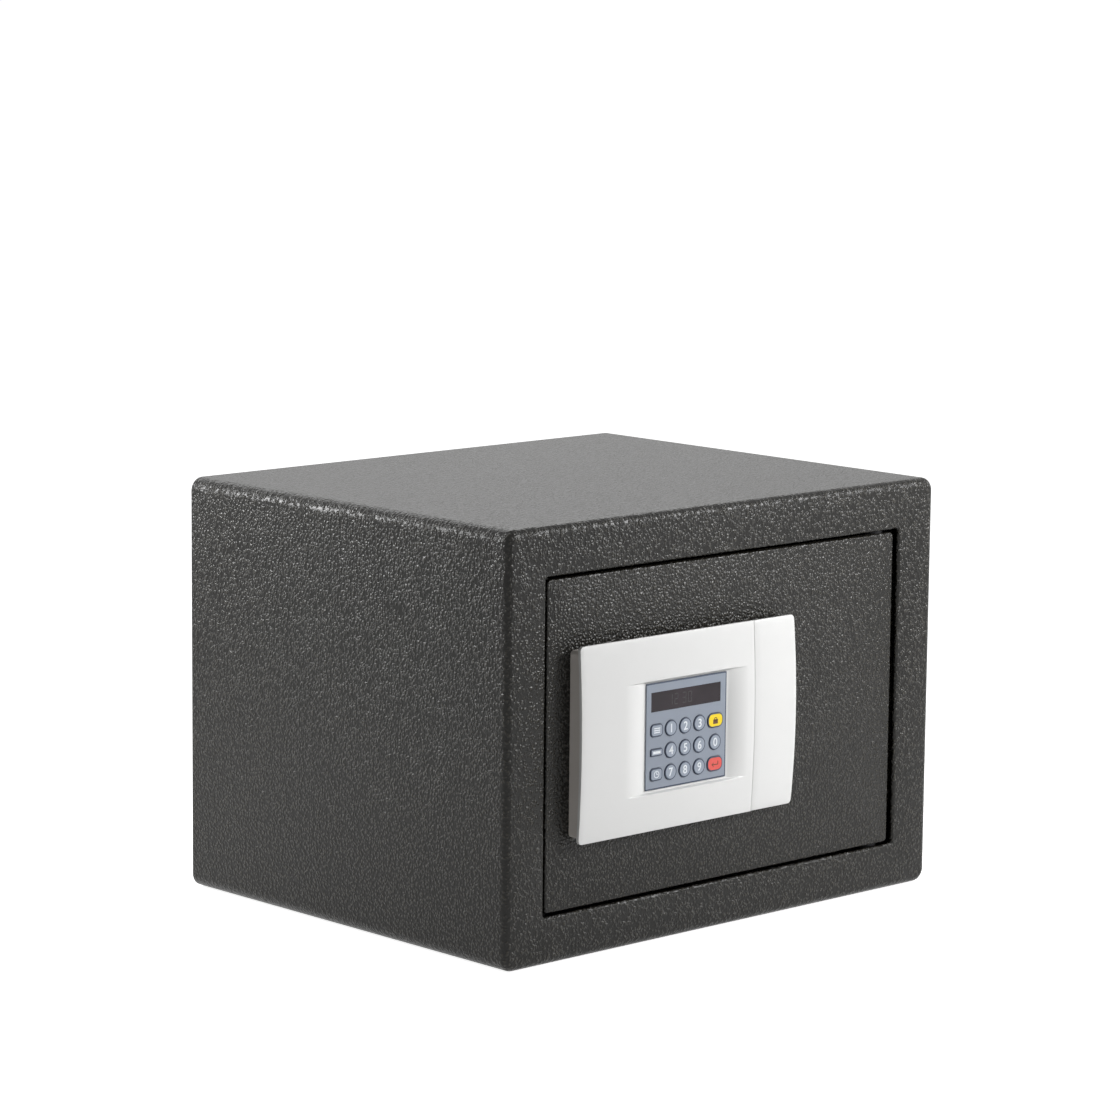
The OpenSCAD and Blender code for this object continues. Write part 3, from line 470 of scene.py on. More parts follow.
@dataclass(frozen=True)
class SolderMask(Finish):
    """Circuit board: glossy solder mask over a net of copper tracks."""

    track: str = "#3f8a4b"
    pitch_mm: float = 2.4

    def dress(self, tree: NodeTree, shader: Node) -> None:
        """Tracks about two millimetres apart under the mask."""
        tracks = add_node(
            tree,
            "ShaderNodeTexVoronoi",
            {"distance": "MANHATTAN", "feature": "F1", "Scale": per_metre(self.pitch_mm)},
            {"Vector": self.place(tree)},
        )
        edge = remap(tree, tracks.outputs["Distance"], (0.0, 1.0), (0.45, 0.5))
        self.two_tone(shader, self.track, edge)
        shader.inputs["Coat Weight"].default_value = 0.5


@dataclass(frozen=True)
class Banded(Finish):
    """Printed film or ribbon with bands across one axis, such as a cell's sleeve."""

    second: str = "#c08a2b"
    axis: int = 2
    start_mm: float = 0.0
    pitch_mm: float = 60.0
    share: float = 0.3

    def dress(self, tree: NodeTree, shader: Node) -> None:
        """A sharp band of the second colour in each pitch."""
        split = add_node(tree, "ShaderNodeSeparateXYZ", {}, {"Vector": self.place(tree)})
        shifted = calculate(tree, "SUBTRACT", split.outputs[self.axis], self.start_mm * MM)
        scaled = calculate(tree, "MULTIPLY", shifted, per_metre(self.pitch_mm))
        phase = calculate(tree, "FRACT", scaled)
        self.two_tone(shader, self.second, calculate(tree, "LESS_THAN", phase, self.share))


@dataclass(frozen=True)
class PrintedInk(Finish):
    """Screen-printed ink: a thin matt film with slightly uneven cover."""

    cover_mm: float = 0.6

    def dress(self, tree: NodeTree, shader: Node) -> None:
        """Uneven cover of the ink."""
        cover = noise(tree, self.place(tree), self.cover_mm)
        self.vary_roughness(shader, cover.outputs["Fac"], 0.1, 0.1)


@dataclass(frozen=True)
class DisplayGlass(Finish):
    """Tinted acrylic in front of the display: dark and glossy."""

    tint: str = "#3a3036"
    gloss: float = 0.25

    def dress(self, tree: NodeTree, shader: Node) -> None:
        """The warmer tone, in wide waves, that the polariser gives."""
        wave = noise(tree, self.place(tree), 20.0, 1.0)
        self.two_tone(shader, self.tint, wave.outputs["Fac"])
        shader.inputs["Specular IOR Level"].default_value = self.gloss


@dataclass(frozen=True)
class StudioFloor(Finish):
    """White studio floor: it shows white to the camera, and keeps a soft shadow."""

    lift: float = 0.9

    def dress(self, tree: NodeTree, shader: Node) -> None:
        """Adds a glow that only the camera, reflections and clear parts see."""
        glow = calculate(tree, "MULTIPLY", seen_white(tree), self.lift)
        shader.inputs["Emission Color"].default_value = (1.0, 1.0, 1.0, 1.0)
        shader.inputs["Specular IOR Level"].default_value = 0.0
        tree.links.new(glow, shader.inputs["Emission Strength"])


COAT = StructureCoat("structure_powder_coat_anthracite", "#272520", 0.33)
INNER_COAT = StructureCoat("structure_powder_coat_inside", "#262522", 0.45, bump_mm=0.3)
WHITE_ABS = MouldedPlastic("satin_lacquered_abs_white", "#e3e3e2", 0.34, coat=0.15)
GREY_ABS = MouldedPlastic("satin_lacquered_abs_base", "#d2ccc6", 0.42)
BLACK_ABS = MouldedPlastic("moulded_abs_black", "#1c1c1e", 0.48, bump_mm=0.03)
# near-black coat: the lock cover's own finish, and painted shade on the hinge parts that sit in
# the door gap
BLACK_COAT_AND_GAP_SHADE = StructureCoat("fine_powder_coat_black_and_gap_shade", "#1d1d1f", 0.42, grain_mm=0.9, bump_mm=0.15)
ZINC = ZincPlate("zinc_plated_steel", "#c3c5c7", 0.34, 1.0)
BOLT_STEEL = TurnedMetal("turned_nickelled_steel_bolt", "#cfcfcd", 0.22, 1.0, axis=0)
# painted shade: the hinge pins are dressed near-black so that they read as the shade in the door
# gap
GAP_SHADE_STEEL = TurnedMetal("steel_dark_as_gap_shade", "#2a2a2b", 0.42, 1.0, axis=2)
PLAIN_STEEL = TurnedMetal("turned_steel", "#c4c4c4", 0.26, 1.0, axis=2)
CHROME = TurnedMetal("nickelled_lock_cylinder", "#d8d7d3", 0.18, 1.0, axis=1)
BRASS = TurnedMetal("machined_brass", "#c9a04e", 0.27, 1.0, axis=1, pitch_mm=0.5)
FELT = Felt("needle_punched_felt_grey", "#4b4b50", 0.95)
SLEEVE = Banded("printed_cell_sleeve", "#27272b", 0.3, second="#c0852a", start_mm=44.0)
RIBBON = Banded("flat_ribbon_lead", "#a9aaad", 0.45, second="#7d7e82", axis=0, pitch_mm=1.27)
MASK = SolderMask("solder_mask_green", "#1f5a2e", 0.3)
FOIL = MouldedPlastic("membrane_foil_blue_grey", "#8a929f", 0.42, grain_mm=0.5, bump_mm=0.008)
KEY_FACE = MouldedPlastic("printed_key_pale_grey", "#949dab", 0.4, grain_mm=0.5, bump_mm=0.006)
# dark ink: printed on the keys' rings, and painted shade on the keypad plate's edge
RING_INK_AND_EDGE_SHADE = PrintedInk("printed_key_outline_and_edge_shade", "#353f52", 0.5)
KEY_YELLOW = MouldedPlastic("moulded_key_yellow", "#f3d400", 0.42)
KEY_RED = MouldedPlastic("moulded_key_red", "#e0544b", 0.35)
WHITE_INK = PrintedInk("white_ink", "#e4e8ec", 0.5)
DARK_INK = PrintedInk("dark_ink", "#5d3a14", 0.5)
GLASS = DisplayGlass("tinted_display_acrylic", "#1a1519", 0.2)
SEGMENT = PrintedInk("display_segments", "#141114", 0.3)
MAT_RUBBER = MouldedPlastic("silicone_key_mat", "#c8c8c6", 0.6)
FLOOR = StudioFloor("studio_floor_white", "#d9d9d9", 0.9)


# Mesh helpers, in millimetres and door coordinates


def box_mesh(bm: BMesh, x: Span, y: Span, z: Span) -> list[BMVert]:
    """Adds a rectangular block.

    Args:
        bm: Mesh that takes the block.
        x: Lowest and highest x.
        y: Lowest and highest y.
        z: Lowest and highest z.

    Returns:
        The vertices of the block.
    """
    size = Matrix.Diagonal((x[1] - x[0], y[1] - y[0], z[1] - z[0], 1.0))
    middle = Matrix.Translation(((x[0] + x[1]) / 2, (y[0] + y[1]) / 2, (z[0] + z[1]) / 2))
    return bmesh.ops.create_cube(bm, size=1.0, matrix=middle @ size)["verts"]


def along(verts: list[BMVert], axis: int) -> list[BMEdge]:
    """Edges between the given vertices that run parallel to an axis."""
    own = set(verts)
    found: set[BMEdge] = set()
    for vert in verts:
        for edge in vert.link_edges:
            if edge.other_vert(vert) in own:
                way = (edge.verts[1].co - edge.verts[0].co).normalized()
                if abs(way[axis]) > PARALLEL:
                    found.add(edge)
    return list(found)


def rim_at(bm: BMesh, y: float) -> list[BMEdge]:
    """Edges that lie wholly at one depth."""
    return [e for e in bm.edges if all(abs(v.co.y - y) < SAME_MM for v in e.verts)]


def front_face(bm: BMesh, y: float) -> BMFace:
    """The largest face of a mesh that lies at a depth."""
    faces = (f for f in bm.faces if abs(f.calc_center_median().y - y) < SAME_MM)
    return max(faces, key=lambda face: face.calc_area())


def round_edges(bm: BMesh, edges: list[BMEdge], radius: float, segments: int) -> None:
    """Rounds edges with a bevel.

    Args:
        bm: Mesh that holds the edges.
        edges: Edges to round.
        radius: Radius of the rounding.
        segments: Number of steps across it.
    """
    bmesh.ops.bevel(
        bm,
        geom=edges,
        offset=radius,
        offset_type="OFFSET",
        segments=segments,
        profile=0.5,
        affect="EDGES",
        material=-1,
        clamp_overlap=True,
    )


def slab_mesh(x: Span, y: Span, z: Span, corner: float, segments: int = 8) -> BMesh:
    """Makes a plate in the x-z plane with rounded corners.

    Args:
        x: Lowest and highest x.
        y: Front and back of the plate.
        z: Lowest and highest z.
        corner: Radius of its corners.
        segments: Steps round a corner.

    Returns:
        The plate as a new mesh.
    """
    bm = bmesh.new()
    verts = box_mesh(bm, x, y, z)
    if corner > 0:
        round_edges(bm, along(verts, 1), corner, segments)
    return bm


def rod_mesh(
    bm: BMesh, centre: Point, axis: int, radius: float, length: float, segments: int = 48
) -> None:
    """Adds a round rod.

    Args:
        bm: Mesh that takes the rod.
        centre: Middle of the rod.
        axis: 0, 1 or 2 for x, y or z.
        radius: Radius of the rod.
        length: Length along the axis.
        segments: Faces round it.
    """
    turn = {
        0: Matrix.Rotation(math.pi / 2, 4, "Y"),
        1: Matrix.Rotation(-math.pi / 2, 4, "X"),
        2: Matrix.Identity(4),
    }[axis]
    bmesh.ops.create_cone(
        bm,
        cap_ends=True,
        segments=segments,
        radius1=radius,
        radius2=radius,
        depth=length,
        matrix=Matrix.Translation(centre) @ turn,
    )


def add_mesh(bm: BMesh, other: BMesh, slot_index: int | None = None) -> None:
    """Adds a mesh to another one and frees it.

    Args:
        bm: Mesh that takes the faces.
        other: Mesh that is added.
        slot_index: Material slot for the added faces, if they get another one.
    """
    if slot_index is not None:
        for face in other.faces:
            face.material_index = slot_index
    data = bpy.data.meshes.new("carrier")
    other.to_mesh(data)
    other.free()
    bm.from_mesh(data)
    bpy.data.meshes.remove(data)


def linked(name: str, data: ID) -> Object:
    """Makes an object and links it to the scene."""
    item = bpy.data.objects.new(name, data)
    bpy.context.scene.collection.objects.link(item)
    return item


def carve(bm: BMesh, cutter: BMesh) -> BMesh:
    """Takes one closed mesh out of another.

    Args:
        bm: Mesh that is cut. It is freed.
        cutter: Mesh that is taken out. It is freed.

    Returns:
        The cut mesh.
    """
    parts = []
    for name, mesh in (("blank", bm), ("cutter", cutter)):
        bmesh.ops.recalc_face_normals(mesh, faces=mesh.faces)
        data = bpy.data.meshes.new(name)
        mesh.to_mesh(data)
        mesh.free()
        parts.append(linked(name, data))
    blank, tool = parts
    cut = blank.modifiers.new("cut", "BOOLEAN")
    cut.object, cut.operation, cut.solver = tool, "DIFFERENCE", "EXACT"
    graph = bpy.context.evaluated_depsgraph_get()
    done = bpy.data.meshes.new_from_object(blank.evaluated_get(graph))
    result = bmesh.new()
    result.from_mesh(done)
    for item in parts:
        data = item.data
        bpy.data.objects.remove(item)
        bpy.data.meshes.remove(data)
    bpy.data.meshes.remove(done)
    return result


def slice_mesh(bm: BMesh, axis: int, places: list[float]) -> None:
    """Cuts the faces at right angles to an axis, without parting them.

    Args:
        bm: Mesh to cut.
        axis: Axis at right angles to the cuts.
        places: Coordinates of the cuts.
    """
    normal = Vector((0, 0, 0))
    normal[axis] = 1.0
    for place in places:
        bmesh.ops.bisect_plane(
            bm,
            geom=bm.verts[:] + bm.edges[:] + bm.faces[:],
            dist=CUT_MM,
            plane_co=normal * place,
            plane_no=normal,
        )


def steps(low: float, high: float, count: int) -> list[float]:
    """Evenly spaced values between two limits, without the limits."""
    return [low + (high - low) * i / count for i in range(1, count)]


def smooth_step(t: float) -> float:
    """Eases from 0 to 1."""
    t = min(1.0, max(0.0, t))
    return t * t * (3 - 2 * t)


def text_mesh(characters: str, height: float, thickness: float) -> BMesh:
    """Makes plain figures that stand up in the x-z plane and face the front.

    Args:
        characters: Figures to draw.
        height: Height of a figure.
        thickness: Thickness of the ink film.

    Returns:
        The figures, centred on the origin, with the back of the film at y = 0.
    """
    curve = bpy.data.curves.new("figures", "FONT")
    curve.body = characters
    curve.size, curve.extrude, curve.offset = 1.0, 0.02, 0.012
    item = linked("figures", curve)
    graph = bpy.context.evaluated_depsgraph_get()
    data = bpy.data.meshes.new_from_object(item.evaluated_get(graph))
    bm = bmesh.new()
    bm.from_mesh(data)
    bpy.data.objects.remove(item)
    bpy.data.curves.remove(curve)
    bpy.data.meshes.remove(data)
    low = Vector([min(v.co[i] for v in bm.verts) for i in range(3)])
    high = Vector([max(v.co[i] for v in bm.verts) for i in range(3)])
    scale = height / (high.y - low.y)
    middle = (low + high) / 2
    for vert in bm.verts:
        flat = (vert.co - middle) * scale
        lift = thickness if vert.co.z > middle.z else 0.0
        vert.co = Vector((flat.x, -lift, flat.y))
    bmesh.ops.remove_doubles(bm, verts=bm.verts, dist=CUT_MM)
    bmesh.ops.recalc_face_normals(bm, faces=bm.faces)
    return bm


def copy_node(name: str) -> BMesh:
    """Copies a CAD node's mesh into millimetres and door coordinates, merged into clean faces.

    Args:
        name: Name of the CAD node.

    Returns:
        The merged copy.
    """
    bm = bmesh.new()
    bm.from_mesh(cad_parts[name].data)
    bm.transform(FROM_FRAME)
    bmesh.ops.remove_doubles(bm, verts=bm.verts, dist=MERGE_MM)
    bmesh.ops.dissolve_limit(
        bm, angle_limit=math.radians(FLAT_DEGREES), verts=bm.verts, edges=bm.edges
    )
    return bm


def add_bevel(
    item: Object, name: str, width: float, segments: int, degrees: float
) -> None:
    """Adds a live bevel.

    Args:
        item: Object that gets it.
        name: Name of the modifier.
        width: Width in millimetres.
        segments: Steps across it.
        degrees: Only edges sharper than this are bevelled.
    """
    bevel = item.modifiers.new(name, "BEVEL")
    bevel.width = width * MM
    bevel.segments = segments
    bevel.limit_method = "ANGLE"
    bevel.angle_limit = math.radians(degrees)


@dataclass
class Workshop:
    """Turns meshes into pieces on the frame, and keeps a count of them."""

    pieces: list[str] = field(default_factory=list)

    def finish(
        self,
        name: str,
        bm: BMesh,
        body: Body | str,
        finishes: list[Finish],
        slot: Slot,
        stands_for: tuple[str, ...] = (),
        bevel_mm: float = 0.0,
        smooth_degrees: float = 38.0,
    ) -> Object:
        """Makes a piece of a mesh, and puts it on its body.

        Args:
            name: Name of the piece.
            bm: Its mesh, in millimetres and door coordinates. It is freed.
            body: Body that carries the piece. A key's body has the key's name.
            finishes: Finishes of its material slots, in order.
            slot: Material slot of the record; not used.
            stands_for: CAD nodes that the piece replaces.
            bevel_mm: Width of a live bevel on its sharp edges, or 0 for none.
            smooth_degrees: Edges flatter than this are shaded smooth.

        Returns:
            The finished object.
        """
        bm.transform(TO_FRAME)
        mesh = bpy.data.meshes.new(name)
        bm.to_mesh(mesh)
        bm.free()
        mesh.shade_smooth()
        mesh.set_sharp_from_angle(angle=math.radians(smooth_degrees))
        for finish in finishes:
            mesh.materials.append(finish.material())
        item = linked(name, mesh)
        if bevel_mm > 0:
            add_bevel(item, "worn_edges", bevel_mm, 2, WORN_DEGREES)
        carrier = body.value if isinstance(body, Body) else body
        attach(item, carrier)
        if stands_for:
            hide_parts(*stands_for)
        self.pieces.append(name)
        log.info("made %s on %s with %d faces", name, carrier, len(mesh.polygons))
        return item

    def dress_nodes(self, finish: Finish, *names: str) -> None:
        """Gives carried-over CAD nodes their finish.

        Args:
            finish: Finish that they get.
            names: Names of the CAD nodes.
        """
        material = finish.material()
        for name in names:
            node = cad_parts[name]
            if not node.data.materials:
                node.data.materials.append(material)
            for place in node.material_slots:
                place.material = material
            log.info("dressed %s in %s", name, finish.name)

    def soften_node(
        self, name: str, body: Body, finish: Finish, slot: Slot, width: float, segments: int = 2
    ) -> None:
        """Replaces a CAD node with a copy whose sharp edges are broken.

        Args:
            name: Name of the CAD node.
            body: Body that carries it.
            finish: Finish of the copy.
            slot: Material slot of the record.
            width: Width of the broken edges.
            segments: Steps across them.
        """
        bm = copy_node(name)
        sharp = [
            edge
            for edge in bm.edges
            if len(edge.link_faces) == 2
            and edge.calc_face_angle(0.0) > math.radians(SHARP_DEGREES)
        ]
        round_edges(bm, sharp, width, segments)
        item = self.finish(f"{name}_soft", bm, body, [finish], slot, (name,))
        item.modifiers.new("flat_faces", "WEIGHTED_NORMAL").keep_sharp = True


# Cabinet


@dataclass
class Cabinet:
    """Steel cabinet: folded shell with its front frame, back panel, inner steel and floor mat."""

    width: float = 350.0
    depth: float = 280.0
    height: float = 250.0
    steel: float = 2.0
    long_radius: float = 8.0
    bend_radius: float = 4.5
    opening_x: Span = (-145.8, 144.0)
    opening_z: Span = (27.7, 221.3)
    opening_corner: float = 2.0
    opening_round: float = 1.8
    opening_steps: int = 6
    anchor_radius: float = 5.0
    floor_anchor_pitch: float = 160.0
    mat_gap: float = 0.5
    mat_lift: float = 0.02
    mat_corner: float = 6.0
    mat_hole_play: float = 3.0
    mat_ripple: float = 0.16
    mat_waves: Span = (0.05, 0.043)
    mat_cuts: tuple[int, int] = (16, 14)
    mat_smooth: float = 30.0

    def form(self, inset: float, back: float) -> BMesh:
        """Closed body with round long edges and a bent front edge.

        Args:
            inset: How far it is drawn in from the outside.
            back: Depth at which it ends.

        Returns:
            The body as a new mesh.
        """
        half = self.width / 2 - inset
        bm = bmesh.new()
        verts = box_mesh(bm, (-half, half), (inset, back), (inset, self.height - inset))
        round_edges(bm, along(verts, 1), self.long_radius - inset, 10)
        round_edges(bm, rim_at(bm, inset), self.bend_radius - inset, 8)
        return bm

    def opening_cutter(self) -> BMesh:
        """Closed form of the opening, flared to the front so that its edge comes out round."""
        bm = slab_mesh(
            self.opening_x,
            (self.opening_round, self.steel + 2 * PAST),
            self.opening_z,
            self.opening_corner,
        )
        front = front_face(bm, self.opening_round)
        rim = list(front.edges)
        bmesh.ops.delete(bm, geom=[front], context="FACES_ONLY")
        count = self.opening_steps
        angles = [math.radians(90.0 * (1 - k / count)) for k in range(1, count + 1)]
        path = [(self.opening_round * (1 - math.cos(a)), 1 - math.sin(a)) for a in angles]
        for depth, share in path + [(-2 * PAST, 1.0)]:
            made = bmesh.ops.extrude_edge_only(bm, edges=rim)["geom"]
            rim = [item for item in made if isinstance(item, BMEdge)]
            for vert in {v for edge in rim for v in edge.verts}:
                self.place_on_rim(vert, self.opening_corner + share * self.opening_round, depth)
        bmesh.ops.edgeloop_fill(bm, edges=rim)
        return bm

    def place_on_rim(self, vert: BMVert, radius: float, depth: float) -> None:
        """Moves a point of the opening's outline to a corner radius and a depth."""
        corner = self.opening_corner
        (left, right), (below, above) = self.opening_x, self.opening_z
        inner = Vector(
            (
                min(max(vert.co.x, left + corner), right - corner),
                0.0,
                min(max(vert.co.z, below + corner), above - corner),
            )
        )
        out = Vector((vert.co.x, 0.0, vert.co.z)) - inner
        vert.co = inner + out.normalized() * radius
        vert.co.y = depth

    def anchor_holes(self, z: float, radius: float, length: float) -> BMesh:
        """Cutter for the two anchor holes in the floor.

        Args:
            z: Height of its middle.
            radius: Radius of the holes.
            length: Length of the cutter.

        Returns:
            The cutter as a new mesh.
        """
        bm = bmesh.new()
        for side in (-1, 1):
            centre = (side * self.floor_anchor_pitch / 2, self.depth / 2, z)
            rod_mesh(bm, centre, 2, radius, length)
        return bm

    def shell(self, shop: Workshop) -> None:
        """Builds the folded shell: its walls, the opening, and two anchor holes below."""
        bm = self.form(0.0, self.depth)
        bm = carve(bm, self.form(self.steel, self.depth + 5 * PAST))
        bm = carve(bm, self.opening_cutter())
        bm = carve(bm, self.anchor_holes(0.0, self.anchor_radius, 10.0))
        nodes = ("cabinet_shell", "front_frame")
        shop.finish("folded_shell", bm, Body.CABINET, [COAT], Slot.CABINET_PAINT, nodes)

    def floor_mat(self, shop: Workshop) -> None:
        """Builds the felt mat on the floor, with a round hole over each anchor."""
        low, high = (FROM_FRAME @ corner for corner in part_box("floor_mat"))
        x = (low.x + self.mat_gap, high.x - self.mat_gap)
        y = (low.y + self.mat_gap, high.y - self.mat_gap)
        bm = bmesh.new()
        verts = box_mesh(bm, x, y, (low.z + self.mat_lift, high.z))
        round_edges(bm, along(verts, 2), self.mat_corner, 6)
        bm = carve(bm, self.anchor_holes(low.z, self.anchor_radius + self.mat_hole_play, 12.0))
        for axis, count in enumerate(self.mat_cuts):
            slice_mesh(bm, axis, steps(low[axis], high[axis], count))
        for vert in bm.verts:
            if vert.co.z > (low.z + high.z) / 2:
                across, into = self.mat_waves
                ripple = math.sin(vert.co.x * across) * math.cos(vert.co.y * into)
                vert.co.z += self.mat_ripple * (ripple - 1.0)
        nodes = ("floor_mat",)
        mat = shop.finish(
            "felt_mat", bm, Body.CABINET, [FELT], Slot.FLOOR_FELT, nodes, 0.6, self.mat_smooth
        )

    def build(self, shop: Workshop) -> None:
        """Builds and dresses the cabinet."""
        self.shell(shop)
        self.floor_mat(shop)
        shop.soften_node("back_panel", Body.CABINET, COAT, Slot.CABINET_PAINT, 0.4)
        shop.dress_nodes(INNER_COAT, "strike_strip")
        # painted shade: the hinge brackets are dressed near-black so that they read as the shade
        # in the door gap
        shop.dress_nodes(BLACK_COAT_AND_GAP_SHADE, "hinge_brackets")


# Door


@dataclass
class Door:
    """Door plate with its hinge parts and the inner case over the bolt work."""

    x: Span = (-144.0, 140.0)
    y: Span = (1.0, 5.0)
    z: Span = (29.5, 219.5)
    corner: float = 2.5
    front_edge: float = 1.0
    screw_x: Span = (-95.0, 0.0)
    screw_z: Span = (80.0, 169.0)
    screw_radius: float = 2.3
    lock: Span = (28.5, 124.5)
    lock_radius: float = 9.6
    cable: Span = (-20.0, 149.5)
    cable_radius: float = 7.0

    def plate(self, shop: Workshop) -> None:
        """Builds the door plate, with a rounded front edge and the holes behind the panel."""
        bm = bmesh.new()
        verts = box_mesh(bm, self.x, self.y, self.z)
        round_edges(bm, along(verts, 1), self.corner, 6)
        round_edges(bm, rim_at(bm, self.y[0]), self.front_edge, 4)
        drilled = [(x, z, self.screw_radius) for x in self.screw_x for z in self.screw_z]
        drilled += [(*self.lock, self.lock_radius), (*self.cable, self.cable_radius)]
        holes = bmesh.new()
        for x, z, radius in drilled:
            centre = (x, (self.y[0] + self.y[1]) / 2, z)
            rod_mesh(holes, centre, 1, radius, self.y[1] - self.y[0] + 4 * PAST)
        bm = carve(bm, holes)
        shop.finish("door_sheet", bm, Body.DOOR, [COAT], Slot.DOOR_PAINT, ("door_plate",))

    def build(self, shop: Workshop) -> None:
        """Builds and dresses the door and what is fixed to it."""
        self.plate(shop)
        shop.dress_nodes(COAT, "hinge_flange")
        for name in ("bolt_guide", "rack_guide", "motor_bracket"):
            shop.soften_node(name, Body.DOOR, ZINC, Slot.ZINC_STEEL, 0.25)
        # painted shade: the hinge lugs and pins are dressed near-black, in place of zinc-plated
        # steel, so that they read as the shade in the door gap
        shop.soften_node("hinge_lugs", Body.DOOR, BLACK_COAT_AND_GAP_SHADE, Slot.ZINC_STEEL, 0.25)
        shop.dress_nodes(GAP_SHADE_STEEL, "hinge_pins")
        shop.dress_nodes(ZINC, "cover_screws", "board_standoffs", "cylinder_nut")
        shop.dress_nodes(ZINC, "panel_screws", "battery_contacts")
        shop.dress_nodes(PLAIN_STEEL, "motor_can")
        shop.dress_nodes(BLACK_ABS, "motor_gearbox", "battery_holder")
        shop.soften_node("lock_cover", Body.DOOR, BLACK_COAT_AND_GAP_SHADE, Slot.CASE_PLASTIC, 0.4)
        shop.dress_nodes(SLEEVE, "battery_cells")
        shop.dress_nodes(MASK, "control_board")
        shop.dress_nodes(RIBBON, "board_lead")
        shop.dress_nodes(CHROME, "cylinder_housing")


# Lock panel


@dataclass
class LockPanel:
    """Moulded lock panel: bowed front with a sunk keypad bed, base tray and key cover."""

    x: Span = (-127.0, 46.5)
    z: Span = (68.0, 181.0)
    middle_z: float = 124.5
    rise: float = 10.0
    bow: float = 2.0
    side_bulge: float = 1.2
    corner: float = 2.5
    seam_x: float = 11.5
    seam: float = 0.3
    wall: float = 2.2
    pad_x: Span = (-73.7, -9.2)
    pad_z: Span = (91.5, 153.5)
    pad_floor: float = -6.2
    rim: float = 1.5
    ramp_left: float = 17.5
    ramp_right: float = 14.0
    ramp_power: float = 1.8
    lip: float = 0.45
    face_wall: float = 2.0
    rim_edge: float = 0.5
    ramp_end: float = 1.5
    bed_edge: float = 0.6
    wall_inset: float = 0.4
    wall_end: float = 3.0
    tongue: float = 2.0
    tongue_places: Span = (5.5, 7.5)
    tongue_end: float = 8.3

    @property
    def bed_x(self) -> Span:
        """Left and right edge of the bed, without its ramps."""
        return self.pad_x[0] - self.rim, self.pad_x[1] + self.rim

    @property
    def bed_z(self) -> Span:
        """Lower and upper edge of the bed."""
        return self.pad_z[0] - self.rim, self.pad_z[1] + self.rim

    @property
    def half_height(self) -> float:
        """Half of the panel's height."""
        return (self.z[1] - self.z[0]) / 2

    @property
    def bow_radius(self) -> float:
        """Radius of the large cylinder that the front follows."""
        return (self.half_height**2 + self.bow**2) / (2 * self.bow)

    def front(self, z: float) -> float:
        """Depth of the bowed front surface at a height."""
        away = z - self.middle_z
        return self.bow_radius - self.rise - math.sqrt(self.bow_radius**2 - away**2)

    def ramp(self, x: float) -> float:
        """Share of the bed's depth at an x: 1 beside the keypad, easing out along the ramps."""
        low, high = self.bed_x
        left = (x - low + self.ramp_left) / self.ramp_left
        right = (high + self.ramp_right - x) / self.ramp_right
        return min(1.0, max(0.0, min(left, right))) ** self.ramp_power

    def inside(self, z: float) -> float:
        """How far a height lies inside the bed's upper and lower walls, from 0 to 1."""
        low, high = self.bed_z
        into = min(z - low, high - z)
        return smooth_step((into + self.lip) / (2 * self.lip))

    def surface(self, x: float, z: float) -> float:
        """Depth of the finished front surface."""
        outer = self.front(z)
        return outer + self.inside(z) * self.ramp(x) * (self.pad_floor - outer)

    def round_corners(self, bm: BMesh, at_x: float) -> None:
        """Rounds the corners of a flat blank that lie at an x."""
        corners = [v for v in bm.verts if abs(v.co.x - at_x) < SAME_MM]
        bmesh.ops.bevel(
            bm,
            geom=corners,
            offset=self.corner,
            offset_type="OFFSET",
            segments=6,
            profile=0.5,
            affect="VERTICES",
            material=-1,
        )

    def blank(self, low: float, high: float) -> BMesh:
        """A flat rectangle over the panel's height that faces the front.

        Args:
            low: Its left edge.
            high: Its right edge.

        Returns:
            The rectangle as a new mesh, at y = 0.
        """
        bm = bmesh.new()
        size = Matrix.Diagonal((high - low, 1.0, self.z[1] - self.z[0], 1.0))
        middle = Matrix.Translation(((low + high) / 2, 0.0, self.middle_z))
        upright = Matrix.Rotation(math.pi / 2, 4, "X")
        bmesh.ops.create_grid(
            bm, x_segments=1, y_segments=1, size=0.5, matrix=middle @ size @ upright
        )
        return bm

    def face(self, shop: Workshop) -> None:
        """Builds the bowed front with its sunk bed and the window behind the keypad plate."""
        right = self.seam_x - self.seam / 2
        bm = self.blank(self.x[0], right)
        self.round_corners(bm, self.x[0])
        low, high = self.bed_x
        start, end = low - self.ramp_left, high + self.ramp_right
        cuts = [end + 2.5, right - 2.0]
        for run in (
            (self.x[0], start - 1.0, 7),
            (start - self.ramp_end, low + self.bed_edge, 26),
            (low + self.bed_edge, high - self.bed_edge, 10),
            (high - self.bed_edge, end + self.ramp_end, 24),
        ):
            cuts += steps(*run)
        window_x = (self.pad_x[0] + self.rim, self.pad_x[1] - self.rim)
        window_z = (self.pad_z[0] + self.rim, self.pad_z[1] - self.rim)
        slice_mesh(bm, 0, sorted(set(cuts + list(window_x))))
        rows = steps(self.z[0], self.z[1], 30)
        for edge in self.bed_z:
            rows = [r for r in rows if abs(r - edge) > 1.2]
            rows += [edge + self.lip * k / 4 for k in range(-5, 6)]
        slice_mesh(bm, 2, sorted(rows + list(window_z)))
        hidden = [
            f
            for f in bm.faces
            if window_x[0] < f.calc_center_median().x < window_x[1]
            and window_z[0] < f.calc_center_median().z < window_z[1]
        ]
        bmesh.ops.delete(bm, geom=hidden, context="FACES")
        for vert in bm.verts:
            vert.co.y = self.surface(vert.co.x, vert.co.z)
        self.mould(shop, "panel_front", bm, Body.DOOR, "panel_face", self.face_wall)

